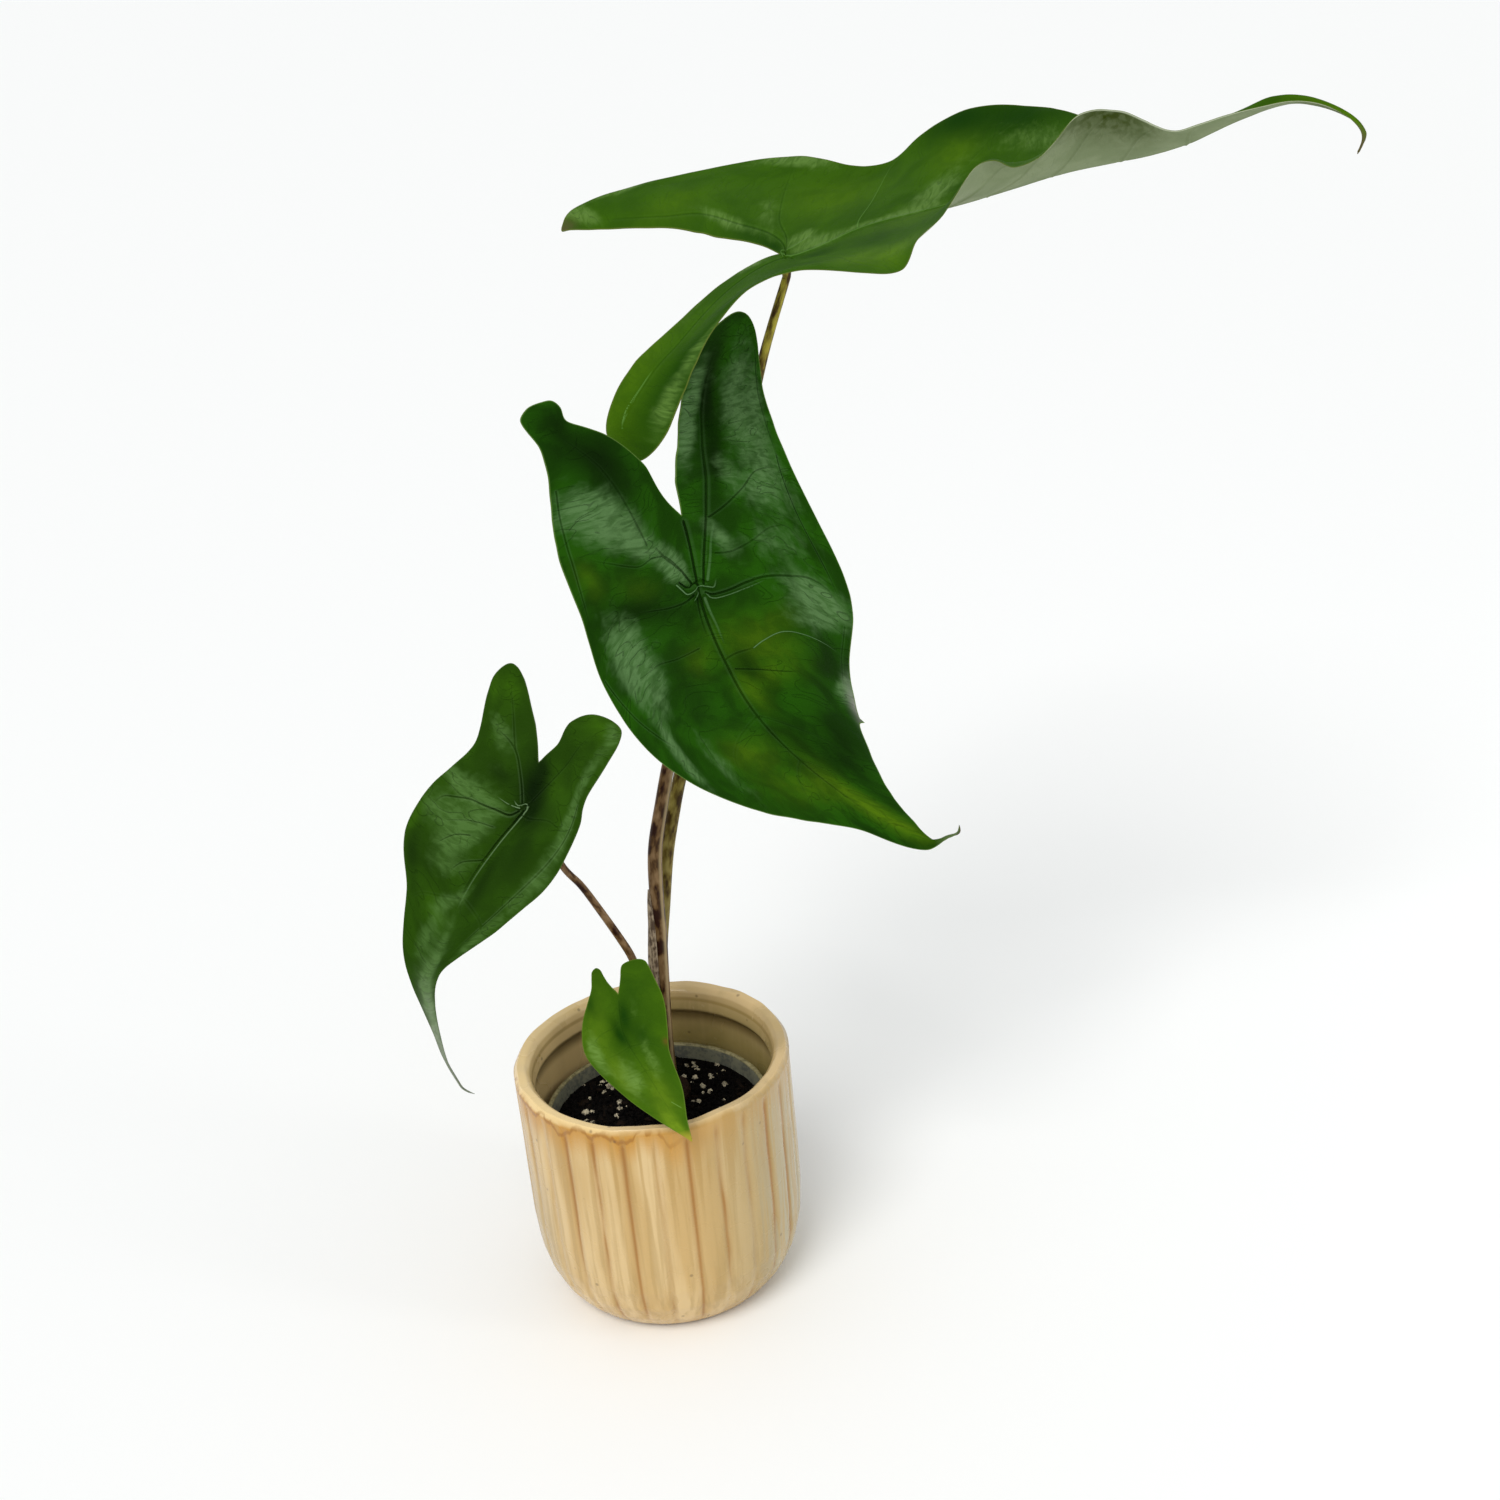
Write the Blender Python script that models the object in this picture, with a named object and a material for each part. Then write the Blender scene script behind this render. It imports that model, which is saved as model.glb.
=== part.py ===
"""A potted alocasia: ribbed stoneware pot, nursery pot, potting mix, corm, four stalks and four leaves.

Metres, +Z up. The origin is the centre of the pot's foot, where it stands, and -Y is the front.
"""

import math
from dataclasses import dataclass

import bmesh
import bpy
import numpy as np
from mathutils import Vector
from mathutils.geometry import delaunay_2d_cdt

MM = 0.001
GAP = 0.3 * MM

# The stoneware pot. A profile row is (radius, height), in millimetres.
POT_RADIUS = 45.0
POT_HEIGHT = 84.0
POT_FLOOR = 6.0
POT_OUTSIDE = [
    (0.0, 0.0),
    (33.5, 0.0),
    (36.5, 2.5),
    (39.8, 7.0),
    (42.5, 13.0),
    (44.3, 21.0),
    (POT_RADIUS, 32.0),
    (POT_RADIUS, 79.0),
    (POT_RADIUS, 82.4),
]
POT_INSIDE = [
    (43.8, POT_HEIGHT),
    (41.6, POT_HEIGHT),
    (39.5, 79.5),
    (38.7, 75.0),
    (39.6, 73.6),
    (39.8, 34.0),
    (37.6, 18.0),
    (33.0, 9.0),
    (29.0, POT_FLOOR),
    (0.0, POT_FLOOR),
]
RIB_COUNT = 28
RIB_PHASE = math.radians(0.9)
RIBBED_ROWS = range(2, 8)
GROOVE_DEPTH = 0.9
COLUMNS_PER_RIB = 3

# The nursery pot stands on the stoneware pot's floor, and the mix fills it.
LINER_FOOT = 27.0
LINER_RIM = 36.4
LINER_WALL = 0.8
LINER_BOTTOM = POT_FLOOR + GAP / MM
LINER_TOP = 63.5
LINER_BEAD = 0.7
MIX_EDGE = 58.6
MIX_MIDDLE = 60.2
ROUND_SEGMENTS = 48

# The corm sits in the surface of the mix, and the stalks stand on its flat crown.
CORM_AXIS = (2.6, 11.3)
CORM_CROWN = 62.5
CORM_PROFILE = [
    (0.0, 45.0),
    (4.7, 46.5),
    (7.9, 51.0),
    (8.7, 56.5),
    (8.4, 60.5),
    (7.6, CORM_CROWN),
    (0.0, CORM_CROWN),
]
CORM_SEGMENTS = 24

# The leaves.
BLADE_THICKNESS = 0.8
BLADE_MESH = 7.5
CREASE_WIDTH = 2.0
STALK_SIDES = 2
STALK_STEP = 7.0
STALK_NECK = 5.0
NECK_CLEARANCE = 0.7


@dataclass(frozen=True)
class Blade:
    """A leaf blade, as landmarks that carry a flat arrow-shaped leaf to its bent shape.

    A row is (across, along, x, y, z), in millimetres. The first two are the place on the flat leaf,
    measured from the joint with the stalk, with along running towards the tip. The margin rows go
    round the edge from the notch between the lobes. The first inner row is the joint.
    """

    margin: list
    inner: list


@dataclass(frozen=True)
class Stalk:
    """A stalk, as points from the corm's crown to just under its blade, and its radius at each end."""

    route: list
    foot_radius: float
    neck_radius: float


BLADES = {
    "blade_top": Blade(
        margin=[
            (0, -6, 63, 44, 328), (8, -20, 52, 54, 331), (16, -46, 34, 66, 334), (28, -84, -2, 86, 334),
            (36, -78, 1, 90, 339), (46, -48, 35, 92, 346), (50, -18, 72, 90, 349), (46, 4, 89, 87, 345),
            (45, 20, 102, 90, 345), (46, 34, 112, 96, 351), (48, 50, 128, 101, 357),
            (46, 68, 146, 105, 356), (38, 90, 160, 106, 353), (24, 120, 185, 98, 344),
            (10, 144, 210, 91, 350), (7, 158, 221, 89, 354), (5, 172, 233, 88, 353),
            (3, 188, 249, 89, 344), (0, 202, 249, 90, 334), (-3, 188, 247, 88, 344),
            (-4, 172, 232, 84, 352), (-6, 158, 218, 80, 353), (-8, 146, 201, 76, 351),
            (-13, 134, 188, 71, 349), (-22, 122, 179, 66, 352), (-32, 108, 167, 59, 358),
            (-38, 94, 154, 51, 359), (-40, 84, 147, 47, 354), (-40, 76, 141, 44, 349),
            (-40, 68, 133, 42, 347), (-39, 58, 127, 38, 350), (-37, 50, 120, 33, 349),
            (-37, 40, 109, 20, 339), (-42, 30, 100, 8, 335), (-46, 20, 95, 0, 329),
            (-44, 8, 85, 4, 328), (-34, -8, 67, 16, 328), (-27, -32, 48, 19, 320),
            (-34, -58, 33, 16, 299), (-37, -76, 25, 17, 284), (-34, -88, 15, 23, 275),
            (-26, -82, 7, 28, 283), (-16, -60, 18, 32, 303), (-7, -32, 39, 37, 318),
        ],
        inner=[
            (0, 0, 65, 42, 327), (0, 26, 88, 50, 332), (0, 54, 119, 62, 335), (0, 88, 155, 73, 340),
            (0, 124, 191, 82, 343), (0, 150, 215, 86, 350), (0, 172, 233, 87, 351),
            (0, 190, 251, 90, 341), (24, 12, 87, 70, 337), (26, 60, 133, 88, 346),
            (-22, 12, 85, 24, 330), (-20, 64, 133, 54, 342), (24, -40, 38, 76, 340),
            (-20, -40, 34, 24, 309),
        ],
    ),
    "blade_middle": Blade(
        margin=[
            (0, -24, 27, 14, 260), (5, -38, 26, 17, 270), (11, -54, 28, 21, 281),
            (21, -78, 34, 31, 301), (27, -88, 42, 36, 310), (36, -92, 50, 40, 313),
            (45, -84, 54, 41, 306), (49, -62, 55, 35, 288), (50, -36, 63, 30, 262),
            (51, -8, 76, 23, 227), (47.5, 16, 74, 16, 208),
            (39.5, 42, 76, 10, 188), (30, 62, 81, 6, 172), (14, 90, 90, 4, 157), (4, 108, 98, 2, 150),
            (0, 122, 104, -3, 157), (-5, 106, 94, 1, 148), (-20, 84, 73, -3, 159),
            (-38, 54, 40, -10, 173), (-44, 30, 14, -15, 194), (-44.5, 8, 0, -13, 219),
            (-43, -8, -4, -9, 238), (-42, -26, -9, -5, 256), (-42, -46, -10, 2, 270),
            (-40, -66, -12, 7, 287), (-37, -76, -16, 9, 294), (-29, -82, -9, 11, 298),
            (-22, -70, -3, 12, 292), (-16, -58, 7, 13, 287), (-9, -42, 18, 14, 276),
        ],
        inner=[
            (0, 0, 30, 11, 237), (0, 30, 37, 3, 214), (0, 60, 52, 0, 188), (0, 90, 76, 1, 163),
            (12, -34, 36, 25, 267), (24, -64, 38, 36, 287), (-16, -24, 18, 10, 251),
            (-28, -54, 3, 10, 279), (26, 8, 57, 11, 227), (24, 44, 64, 4, 196), (-24, 10, 12, -7, 230),
            (-22, 46, 28, -9, 195),
        ],
    ),
    "blade_left": Blade(
        margin=[
            (0, -14, -22, -12, 196), (7, -23, -16, -12, 201), (14, -34, -11, -12, 208),
            (23, -40, -3, -13, 210), (30, -34, 4, -17, 206), (31, -20, -1, -20, 197),
            (30, -11, -8, -22, 188), (28.5, 0, -11, -24, 180), (24, 20, -22, -28, 163),
            (16, 42, -41, -30, 149), (6, 60, -58, -31, 138), (2.5, 78, -61, -32, 123),
            (1.2, 94, -60, -31, 106), (0, 108, -57, -27, 91), (-1.2, 94, -61, -31, 107),
            (-3, 78, -64, -32, 123), (-10, 60, -69, -26, 143), (-20, 42, -66, -18, 162),
            (-27, 24, -65, -11, 177), (-30, 6, -55, -7, 190), (-28, -14, -41, -5, 201),
            (-27, -32, -36, 0, 214), (-24, -44, -32, 1, 221), (-17, -49, -27, 1, 223),
            (-10, -42, -24, 0, 218), (-4, -26, -22, -6, 206),
        ],
        inner=[
            (0, 0, -28, -16, 183), (0, 25, -46, -20, 162), (0, 52, -60, -27, 139),
            (13, -16, -13, -14, 195), (-13, -22, -31, -6, 203), (14, 14, -27, -25, 174),
            (-14, 14, -50, -14, 177),
        ],
    ),
    "blade_front": Blade(
        margin=[
            (0, -8, -7, -14, 115), (3, -13, -6, -11, 119), (5.5, -19, -5, -8, 122), (10, -21, 0, -7, 123),
            (14, -17, 3, -9, 122), (17, -4, 7, -18, 115), (17, 8, 8, -28, 109), (16, 16, 8, -34, 106),
            (12, 28, 11, -42, 98), (5, 40, 12, -50, 91), (0, 49, 13, -55, 86), (-6, 40, 4, -48, 89),
            (-14, 28, -7, -38, 93), (-19, 14, -18, -26, 100), (-18, 0, -19, -18, 108),
            (-13, -12, -15, -10, 115), (-10, -20, -13, -7, 120), (-5, -14, -10, -9, 117),
        ],
        inner=[(0, 0, -7, -19, 108), (0, 20, 0, -34, 99), (9, 8, 1, -27, 109), (-9, 8, -11, -26, 104)],
    ),
}

STALKS = {
    "petiole_top": Stalk(
        route=[
            (3.9, 15.9, 66), (4.2, 16.4, 84), (4.9, 17, 100), (5.9, 18, 112), (7.9, 19.3, 125),
            (11.2, 22, 145), (15.4, 25, 161), (18.8, 28, 172), (26, 32, 199), (37, 37, 237),
            (48, 41, 273), (56, 42, 299),
        ],
        foot_radius=2.6,
        neck_radius=1.2,
    ),
    "petiole_middle": Stalk(
        route=[
            (4, 10, 66), (4.8, 10.5, 90), (5.6, 11, 106), (6.4, 11.6, 120), (6.8, 12.8, 135),
            (8, 14.2, 150), (11.5, 16, 165), (15.4, 17.6, 179), (22, 19, 199), (27, 19, 218),
        ],
        foot_radius=2.6,
        neck_radius=1.5,
    ),
    "petiole_left": Stalk(
        route=[
            (-1.2, 12.8, 66), (-2.6, 9.5, 84), (-1.5, 3, 118), (-3.9, 0, 126), (-10.2, -4.5, 141),
            (-14.7, -7.5, 151), (-19.5, -10, 160),
        ],
        foot_radius=1.5,
        neck_radius=0.9,
    ),
    "petiole_front": Stalk(
        route=[(0.6, 5.4, 66), (0.2, 1, 80), (-2, -5, 93)],
        foot_radius=1.2,
        neck_radius=0.7,
    ),
}

# The papery sheath wraps the left of the thickest stalk's foot, and bulges away from it halfway up.
SHEATH_TOP = 137.0
SHEATH_WALL = 0.5
SHEATH_BULGE = 1.3
SHEATH_MIDDLE = math.radians(212)
SHEATH_HALF_TURN = (math.radians(78), math.radians(25))
SHEATH_ROWS = 11
SHEATH_COLUMNS = 12


def clear_scene():
    for obj in list(bpy.data.objects):
        bpy.data.objects.remove(obj, do_unlink=True)


def material(name, color, roughness, metallic=0.0):
    """A Principled material, from a linear colour."""
    made = bpy.data.materials.new(name)
    made.use_nodes = True
    shader = made.node_tree.nodes["Principled BSDF"]
    shader.inputs["Base Color"].default_value = (*color, 1.0)
    shader.inputs["Roughness"].default_value = roughness
    shader.inputs["Metallic"].default_value = metallic
    made.diffuse_color = (*color, 1.0)
    return made


def add_object(name, data, look):
    obj = bpy.data.objects.new(name, data)
    bpy.context.scene.collection.objects.link(obj)
    data.materials.append(look)
    return obj


def finish_mesh(name, bm, look, sharp=math.radians(40)):
    """A smooth-shaded object from a bmesh in millimetres."""
    bmesh.ops.recalc_face_normals(bm, faces=bm.faces)
    bmesh.ops.scale(bm, vec=(MM, MM, MM), verts=bm.verts)
    mesh = bpy.data.meshes.new(name)
    bm.to_mesh(mesh)
    bm.free()
    mesh.shade_smooth()
    mesh.set_sharp_from_angle(angle=sharp)
    return add_object(name, mesh, look)


def no_relief(angle, row):
    return 0.0


def turned(name, profile, segments, look, centre=(0.0, 0.0), relief=no_relief):
    """A turned body from a profile that starts and ends on the axis. relief lowers a row at an angle."""
    bm = bmesh.new()
    rings = []
    for row, (radius, height) in enumerate(profile):
        if radius == 0.0:
            rings.append([bm.verts.new((*centre, height))])
            continue
        ring = []
        for step in range(segments):
            angle = math.tau * step / segments
            reach = radius - relief(angle, row)
            place = (centre[0] + reach * math.sin(angle), centre[1] - reach * math.cos(angle), height)
            ring.append(bm.verts.new(place))
        rings.append(ring)
    for low, high in zip(rings[:-1], rings[1:]):
        for step in range(segments):
            after = (step + 1) % segments
            if len(low) == 1:
                bm.faces.new((low[0], high[step], high[after]))
            elif len(high) == 1:
                bm.faces.new((low[step], high[0], low[after]))
            else:
                bm.faces.new((low[step], low[after], high[after], high[step]))
    return finish_mesh(name, bm, look)


def groove(angle, row):
    """How far the pot's outside is sunk there: nothing on a rib, GROOVE_DEPTH between two ribs."""
    if row not in RIBBED_ROWS:
        return 0.0
    ribs = (angle - RIB_PHASE) * RIB_COUNT / math.tau
    from_groove = abs(ribs - round(ribs))
    return GROOVE_DEPTH * max(0.0, 1.0 - from_groove * COLUMNS_PER_RIB)


def ceramic_pot(look):
    columns = RIB_COUNT * COLUMNS_PER_RIB
    return turned("ceramic_pot", POT_OUTSIDE + POT_INSIDE, columns, look, relief=groove)


def liner_radius(height):
    """The nursery pot's outer radius at a height."""
    share = (height - LINER_BOTTOM) / (LINER_TOP - LINER_BOTTOM)
    return LINER_FOOT + (LINER_RIM - LINER_FOOT) * share


def nursery_pot(look):
    bead = LINER_TOP - 2 * LINER_BEAD
    floor = LINER_BOTTOM + LINER_WALL
    profile = [
        (0.0, LINER_BOTTOM),
        (LINER_FOOT, LINER_BOTTOM),
        (liner_radius(bead), bead),
        (LINER_RIM + LINER_BEAD, bead),
        (LINER_RIM + LINER_BEAD, LINER_TOP),
        (LINER_RIM - LINER_WALL, LINER_TOP),
        (liner_radius(floor) - LINER_WALL, floor),
        (0.0, floor),
    ]
    return turned("nursery_pot", profile, ROUND_SEGMENTS, look)


def potting_mix(look):
    """The mix, with a pocket for the corm."""
    inset = LINER_WALL + GAP / MM
    floor = LINER_BOTTOM + inset
    profile = [
        (0.0, floor),
        (liner_radius(floor) - inset, floor),
        (liner_radius(MIX_EDGE) - inset, MIX_EDGE),
        (27.0, MIX_EDGE + 0.9),
        (17.0, MIX_MIDDLE),
        (0.0, MIX_MIDDLE),
    ]
    mix = turned("potting_mix", profile, ROUND_SEGMENTS, look)
    room = [(radius + GAP / MM if radius else 0.0, height) for radius, height in CORM_PROFILE]
    room[0] = (0.0, room[0][1] - GAP / MM)
    room[-2:] = [(room[-2][0], CORM_CROWN + 4.0), (0.0, CORM_CROWN + 4.0)]
    cutter = turned("corm_pocket", room, CORM_SEGMENTS, look, CORM_AXIS)
    cutter.hide_render = True
    cutter.display_type = "WIRE"
    pocket = mix.modifiers.new("corm_pocket", "BOOLEAN")
    pocket.object = cutter
    pocket.operation = "DIFFERENCE"
    return mix


def corm(look):
    return turned("corm", CORM_PROFILE, CORM_SEGMENTS, look, CORM_AXIS)


class LeafShape:
    """The smooth map from the flat leaf to the bent one, which passes through a blade's landmarks.

    It is a thin-plate spline in (across, along, |across|): the third makes the fold at the midrib.
    """

    def __init__(self, blade):
        rows = np.array(blade.margin + blade.inner, float)
        self.places = self.features(rows[:, :2])
        count = len(rows)
        system = np.zeros((count + 4, count + 4))
        system[:count, :count] = self.bend(self.places)
        system[:count, count:] = np.hstack([np.ones((count, 1)), self.places])
        system[count:, :count] = system[:count, count:].T
        target = np.zeros((count + 4, 3))
        target[:count] = rows[:, 2:]
        self.weights = np.linalg.solve(system, target)

    def features(self, flat):
        flat = np.atleast_2d(np.asarray(flat, float))
        fold = np.sqrt(flat[:, 0] ** 2 + CREASE_WIDTH**2) - CREASE_WIDTH
        return np.column_stack([flat, fold])

    def bend(self, places):
        apart = np.linalg.norm(places[:, None] - self.places[None], axis=2)
        return apart**2 * np.log(np.maximum(apart, 1e-9))

    def at(self, flat):
        places = self.features(flat)
        flat_part = np.hstack([np.ones((len(places), 1)), places]) @ self.weights[-4:]
        return self.bend(places) @ self.weights[:-4] + flat_part

    def joint(self):
        """The stalk's joint, and the upper side's unit normal there."""
        step = 1.0
        centre, right, towards_tip = self.at([(0, 0), (step, 0), (0, step)])
        left = self.at([(-step, 0)])[0]
        normal = np.cross(towards_tip - centre, right - left)
        return Vector(centre), Vector(normal).normalized()


def margin_curve(rows):
    """The flat leaf's edge as a smooth closed curve. It has a corner wherever it crosses the midrib."""
    points = [Vector(row[:2]) for row in rows]
    count = len(points)
    outline = []
    for index in range(count):
        start, end = points[index], points[(index + 1) % count]
        chord = end - start
        leave = chord if start.x == 0 else (end - points[index - 1]) / 2
        arrive = chord if end.x == 0 else (points[(index + 2) % count] - start) / 2
        leave, arrive = (limited(slope, chord.length) for slope in (leave, arrive))
        pieces = max(1, round(chord.length / BLADE_MESH))
        for piece in range(pieces):
            outline.append(hermite(start, end, leave, arrive, piece / pieces))
    return outline


def limited(slope, chord):
    """The slope, no longer than a little over the chord, so that the curve makes no loop."""
    longest = 1.2 * chord
    return slope * (longest / slope.length) if slope.length > longest else slope


def hermite(start, end, leave, arrive, t):
    return (
        start * (2 * t**3 - 3 * t**2 + 1)
        + leave * (t**3 - 2 * t**2 + t)
        + end * (3 * t**2 - 2 * t**3)
        + arrive * (t**3 - t**2)
    )


def is_inside(point, outline, clearance):
    """Whether the point is inside the outline and at least the clearance from it."""
    crossings = 0
    for start, end in zip(outline, outline[1:] + outline[:1]):
        if (start.y > point.y) != (end.y > point.y):
            share = (point.y - start.y) / (end.y - start.y)
            crossings += point.x < start.x + share * (end.x - start.x)
        edge = end - start
        share = max(0.0, min(1.0, (point - start).dot(edge) / edge.length_squared))
        if (point - start - edge * share).length < clearance:
            return False
    return crossings % 2 == 1


def flat_leaf(blade):
    """The flat leaf's points and triangles, with a row of edges down the midrib."""
    outline = margin_curve(blade.margin)
    notch, tip = (index for index, point in enumerate(outline) if point.x == 0)
    low = min(point.y for point in outline)
    high = max(point.y for point in outline)
    reach = max(abs(point.x) for point in outline)
    midrib = []
    inside = []
    height = low
    row = 0
    while height < high:
        across = BLADE_MESH * (row % 2) / 2
        for step in range(-round(reach / BLADE_MESH) - 1, round(reach / BLADE_MESH) + 2):
            point = Vector((step * BLADE_MESH + across, height))
            if abs(point.x) > BLADE_MESH / 3 and is_inside(point, outline, BLADE_MESH / 2):
                inside.append(point)
        height += BLADE_MESH * 0.87
        row += 1
    height = outline[notch].y + BLADE_MESH
    while height < outline[tip].y - BLADE_MESH / 2:
        midrib.append(Vector((0.0, height)))
        height += BLADE_MESH
    points = outline + midrib + inside
    first = len(outline)
    spine = [notch, *range(first, first + len(midrib)), tip]
    edges = list(zip(spine[:-1], spine[1:]))
    flat, _, faces, *_ = delaunay_2d_cdt(points, edges, [list(range(first))], 1, 1e-4)
    return flat, faces


def leaf_blade(name, look):
    blade = BLADES[name]
    flat, faces = flat_leaf(blade)
    bent = LeafShape(blade).at([tuple(point) for point in flat])
    bm = bmesh.new()
    verts = [bm.verts.new(point) for point in bent]
    for face in faces:
        bm.faces.new([verts[index] for index in face])
    obj = finish_mesh(name, bm, look)
    solid = obj.modifiers.new("thickness", "SOLIDIFY")
    solid.thickness = BLADE_THICKNESS * MM
    solid.offset = 0.0
    return obj


def smooth_route(points):
    """Points every STALK_STEP or so along a smooth curve through the given ones."""
    path = []
    for index, (start, end) in enumerate(zip(points[:-1], points[1:])):
        before = points[index - 1] if index else start
        after = points[index + 2] if index + 2 < len(points) else end
        pieces = max(1, round((end - start).length / STALK_STEP))
        leave = limited((end - before) / 2, (end - start).length)
        arrive = limited((after - start) / 2, (end - start).length)
        path += [hermite(start, end, leave, arrive, piece / pieces) for piece in range(pieces)]
    return path + [points[-1]]


def stalk_points(name):
    """The stalk's route: straight up from the crown, then along its points to its blade's underside."""
    stalk = STALKS[name]
    joint, normal = LeafShape(BLADES[name.replace("petiole", "blade")]).joint()
    foot = Vector(stalk.route[0])
    foot.z = CORM_CROWN + GAP / MM
    top = joint - normal * (BLADE_THICKNESS / 2 + NECK_CLEARANCE)
    neck = top - normal * STALK_NECK
    return [foot] + smooth_route([Vector(point) for point in stalk.route] + [neck]) + [top]


def stalk_radius(stalk, share):
    """The stalk tapers quickly above its swollen foot, hardly in its lower half, then more and more."""
    taper = 0.2 * min(1.0, share / 0.15) + 0.8 * share**2
    return stalk.foot_radius + (stalk.neck_radius - stalk.foot_radius) * taper


def leaf_stalk(name, look):
    stalk = STALKS[name]
    points = stalk_points(name)
    curve = bpy.data.curves.new(name, "CURVE")
    curve.dimensions = "3D"
    curve.bevel_depth = MM
    curve.bevel_resolution = STALK_SIDES
    curve.use_fill_caps = True
    spline = curve.splines.new("POLY")
    spline.points.add(len(points) - 1)
    for index, (knot, point) in enumerate(zip(spline.points, points)):
        knot.co = (*(point * MM), 1.0)
        knot.radius = stalk_radius(stalk, index / (len(points) - 1))
    spline.use_smooth = True
    return add_object(name, curve, look)


def petiole_sheath(look):
    """A thin split sleeve round the thickest stalk's foot, narrowing to its top."""
    stalk = STALKS["petiole_middle"]
    points = stalk_points("petiole_middle")
    start = CORM_CROWN + GAP / MM
    bm = bmesh.new()
    layers = []
    for layer in (0.0, SHEATH_WALL):
        grid = []
        for row in range(SHEATH_ROWS):
            share = row / (SHEATH_ROWS - 1)
            height = start + (SHEATH_TOP - start) * share
            above = next(index for index, point in enumerate(points) if point.z > height)
            low, high = points[above - 1], points[above]
            centre = low.lerp(high, (height - low.z) / (high.z - low.z))
            clearance = 2 * GAP / MM + SHEATH_BULGE * math.sin(math.pi * share)
            radius = stalk_radius(stalk, (above - 1) / (len(points) - 1)) + clearance + layer
            half = SHEATH_HALF_TURN[0] + (SHEATH_HALF_TURN[1] - SHEATH_HALF_TURN[0]) * share
            ring = []
            for column in range(SHEATH_COLUMNS + 1):
                angle = SHEATH_MIDDLE + half * (2 * column / SHEATH_COLUMNS - 1)
                side = Vector((math.cos(angle), math.sin(angle), 0.0))
                ring.append(bm.verts.new(centre + side * radius))
            grid.append(ring)
        layers.append(grid)
    join_layers(bm, *layers)
    return finish_mesh("petiole_sheath", bm, look)


def join_layers(bm, inner, outer):
    """Faces on two matching grids of vertices, and a wall between their edges."""
    for grid in (inner, outer):
        for low, high in zip(grid[:-1], grid[1:]):
            for column in range(len(low) - 1):
                bm.faces.new((low[column], low[column + 1], high[column + 1], high[column]))
    pairs = list(zip(border_of(inner), border_of(outer)))
    for (start, far_start), (end, far_end) in zip(pairs, pairs[1:] + pairs[:1]):
        bm.faces.new((start, end, far_end, far_start))


def border_of(grid):
    """The vertices round a grid's edge, in order."""
    right = [row[-1] for row in grid[1:-1]]
    left = [row[0] for row in grid[-2:0:-1]]
    return grid[0] + right + grid[-1][::-1] + left


def main():
    clear_scene()
    stoneware = material("glazed_stoneware", (0.60, 0.45, 0.22), 0.25)
    plastic = material("nursery_plastic", (0.03, 0.03, 0.03), 0.4)
    soil = material("potting_mix", (0.010, 0.008, 0.006), 0.95)
    mottled = material("mottled_stalk", (0.22, 0.12, 0.07), 0.5)
    yellow_green = material("green_stalk", (0.25, 0.27, 0.03), 0.5)
    papery = material("papery_sheath", (0.35, 0.22, 0.13), 0.7)
    dark_leaf = material("dark_leaf", (0.012, 0.065, 0.008), 0.3)
    green_leaf = material("green_leaf", (0.030, 0.120, 0.010), 0.35)

    ceramic_pot(stoneware)
    nursery_pot(plastic)
    potting_mix(soil)
    corm(papery)
    for name in STALKS:
        leaf_stalk(name, yellow_green if name == "petiole_top" else mottled)
    petiole_sheath(papery)
    for name in BLADES:
        leaf_blade(name, dark_leaf if name == "blade_middle" else green_leaf)


main()
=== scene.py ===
"""Looks for the potted alocasia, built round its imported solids.

Metres, +Z up, in the part's own frame: the origin is the centre of the pot's foot, and -Y is the front.
Sizes and routes inside the classes are in millimetres.
"""

import logging
import math
from dataclasses import dataclass, field
from enum import Enum
from functools import partial, reduce
from typing import Callable

import bpy
import numpy as np
from bpy.types import Material, Node, NodeTree, Object
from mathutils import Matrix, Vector
from mathutils.geometry import delaunay_2d_cdt


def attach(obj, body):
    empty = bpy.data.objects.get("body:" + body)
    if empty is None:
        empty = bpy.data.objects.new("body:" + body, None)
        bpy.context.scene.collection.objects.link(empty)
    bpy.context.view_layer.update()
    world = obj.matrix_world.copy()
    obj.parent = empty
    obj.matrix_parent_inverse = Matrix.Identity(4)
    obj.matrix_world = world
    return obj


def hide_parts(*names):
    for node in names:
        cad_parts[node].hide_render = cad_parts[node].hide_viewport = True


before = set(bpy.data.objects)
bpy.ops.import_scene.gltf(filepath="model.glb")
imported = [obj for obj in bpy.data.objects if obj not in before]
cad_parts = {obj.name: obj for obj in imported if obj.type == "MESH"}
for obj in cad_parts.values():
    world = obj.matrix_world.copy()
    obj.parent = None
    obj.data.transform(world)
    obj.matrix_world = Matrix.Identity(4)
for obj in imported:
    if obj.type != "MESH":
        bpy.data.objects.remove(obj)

LOG = logging.getLogger("potted_alocasia")
MM = 0.001
BODY = "root"
Row = tuple[float, ...]

MATH, RAMP, MIX, NOISE = "ShaderNodeMath", "ShaderNodeMapRange", "ShaderNodeMix", "ShaderNodeTexNoise"
MAPPING, ATTRIBUTE, BUMP = "ShaderNodeMapping", "ShaderNodeAttribute", "ShaderNodeBump"
VECTOR_MATH = "ShaderNodeVectorMath"
# The inputs that add_node fills in order. Other kinds of node are filled from the first input on.
INPUTS = {
    MIX: (0, 6, 7), NOISE: ("Vector", "Scale", "Detail", "Distortion"), MAPPING: ("Vector", "Scale"),
    BUMP: ("Strength", "Distance", "Height"),
}
# The settings that add_node gives a kind of node unless it is told others.
USUAL = {
    MATH: {"operation": "MULTIPLY"}, MIX: {"data_type": "RGBA"}, RAMP: {"interpolation_type": "SMOOTHSTEP"},
}
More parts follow.
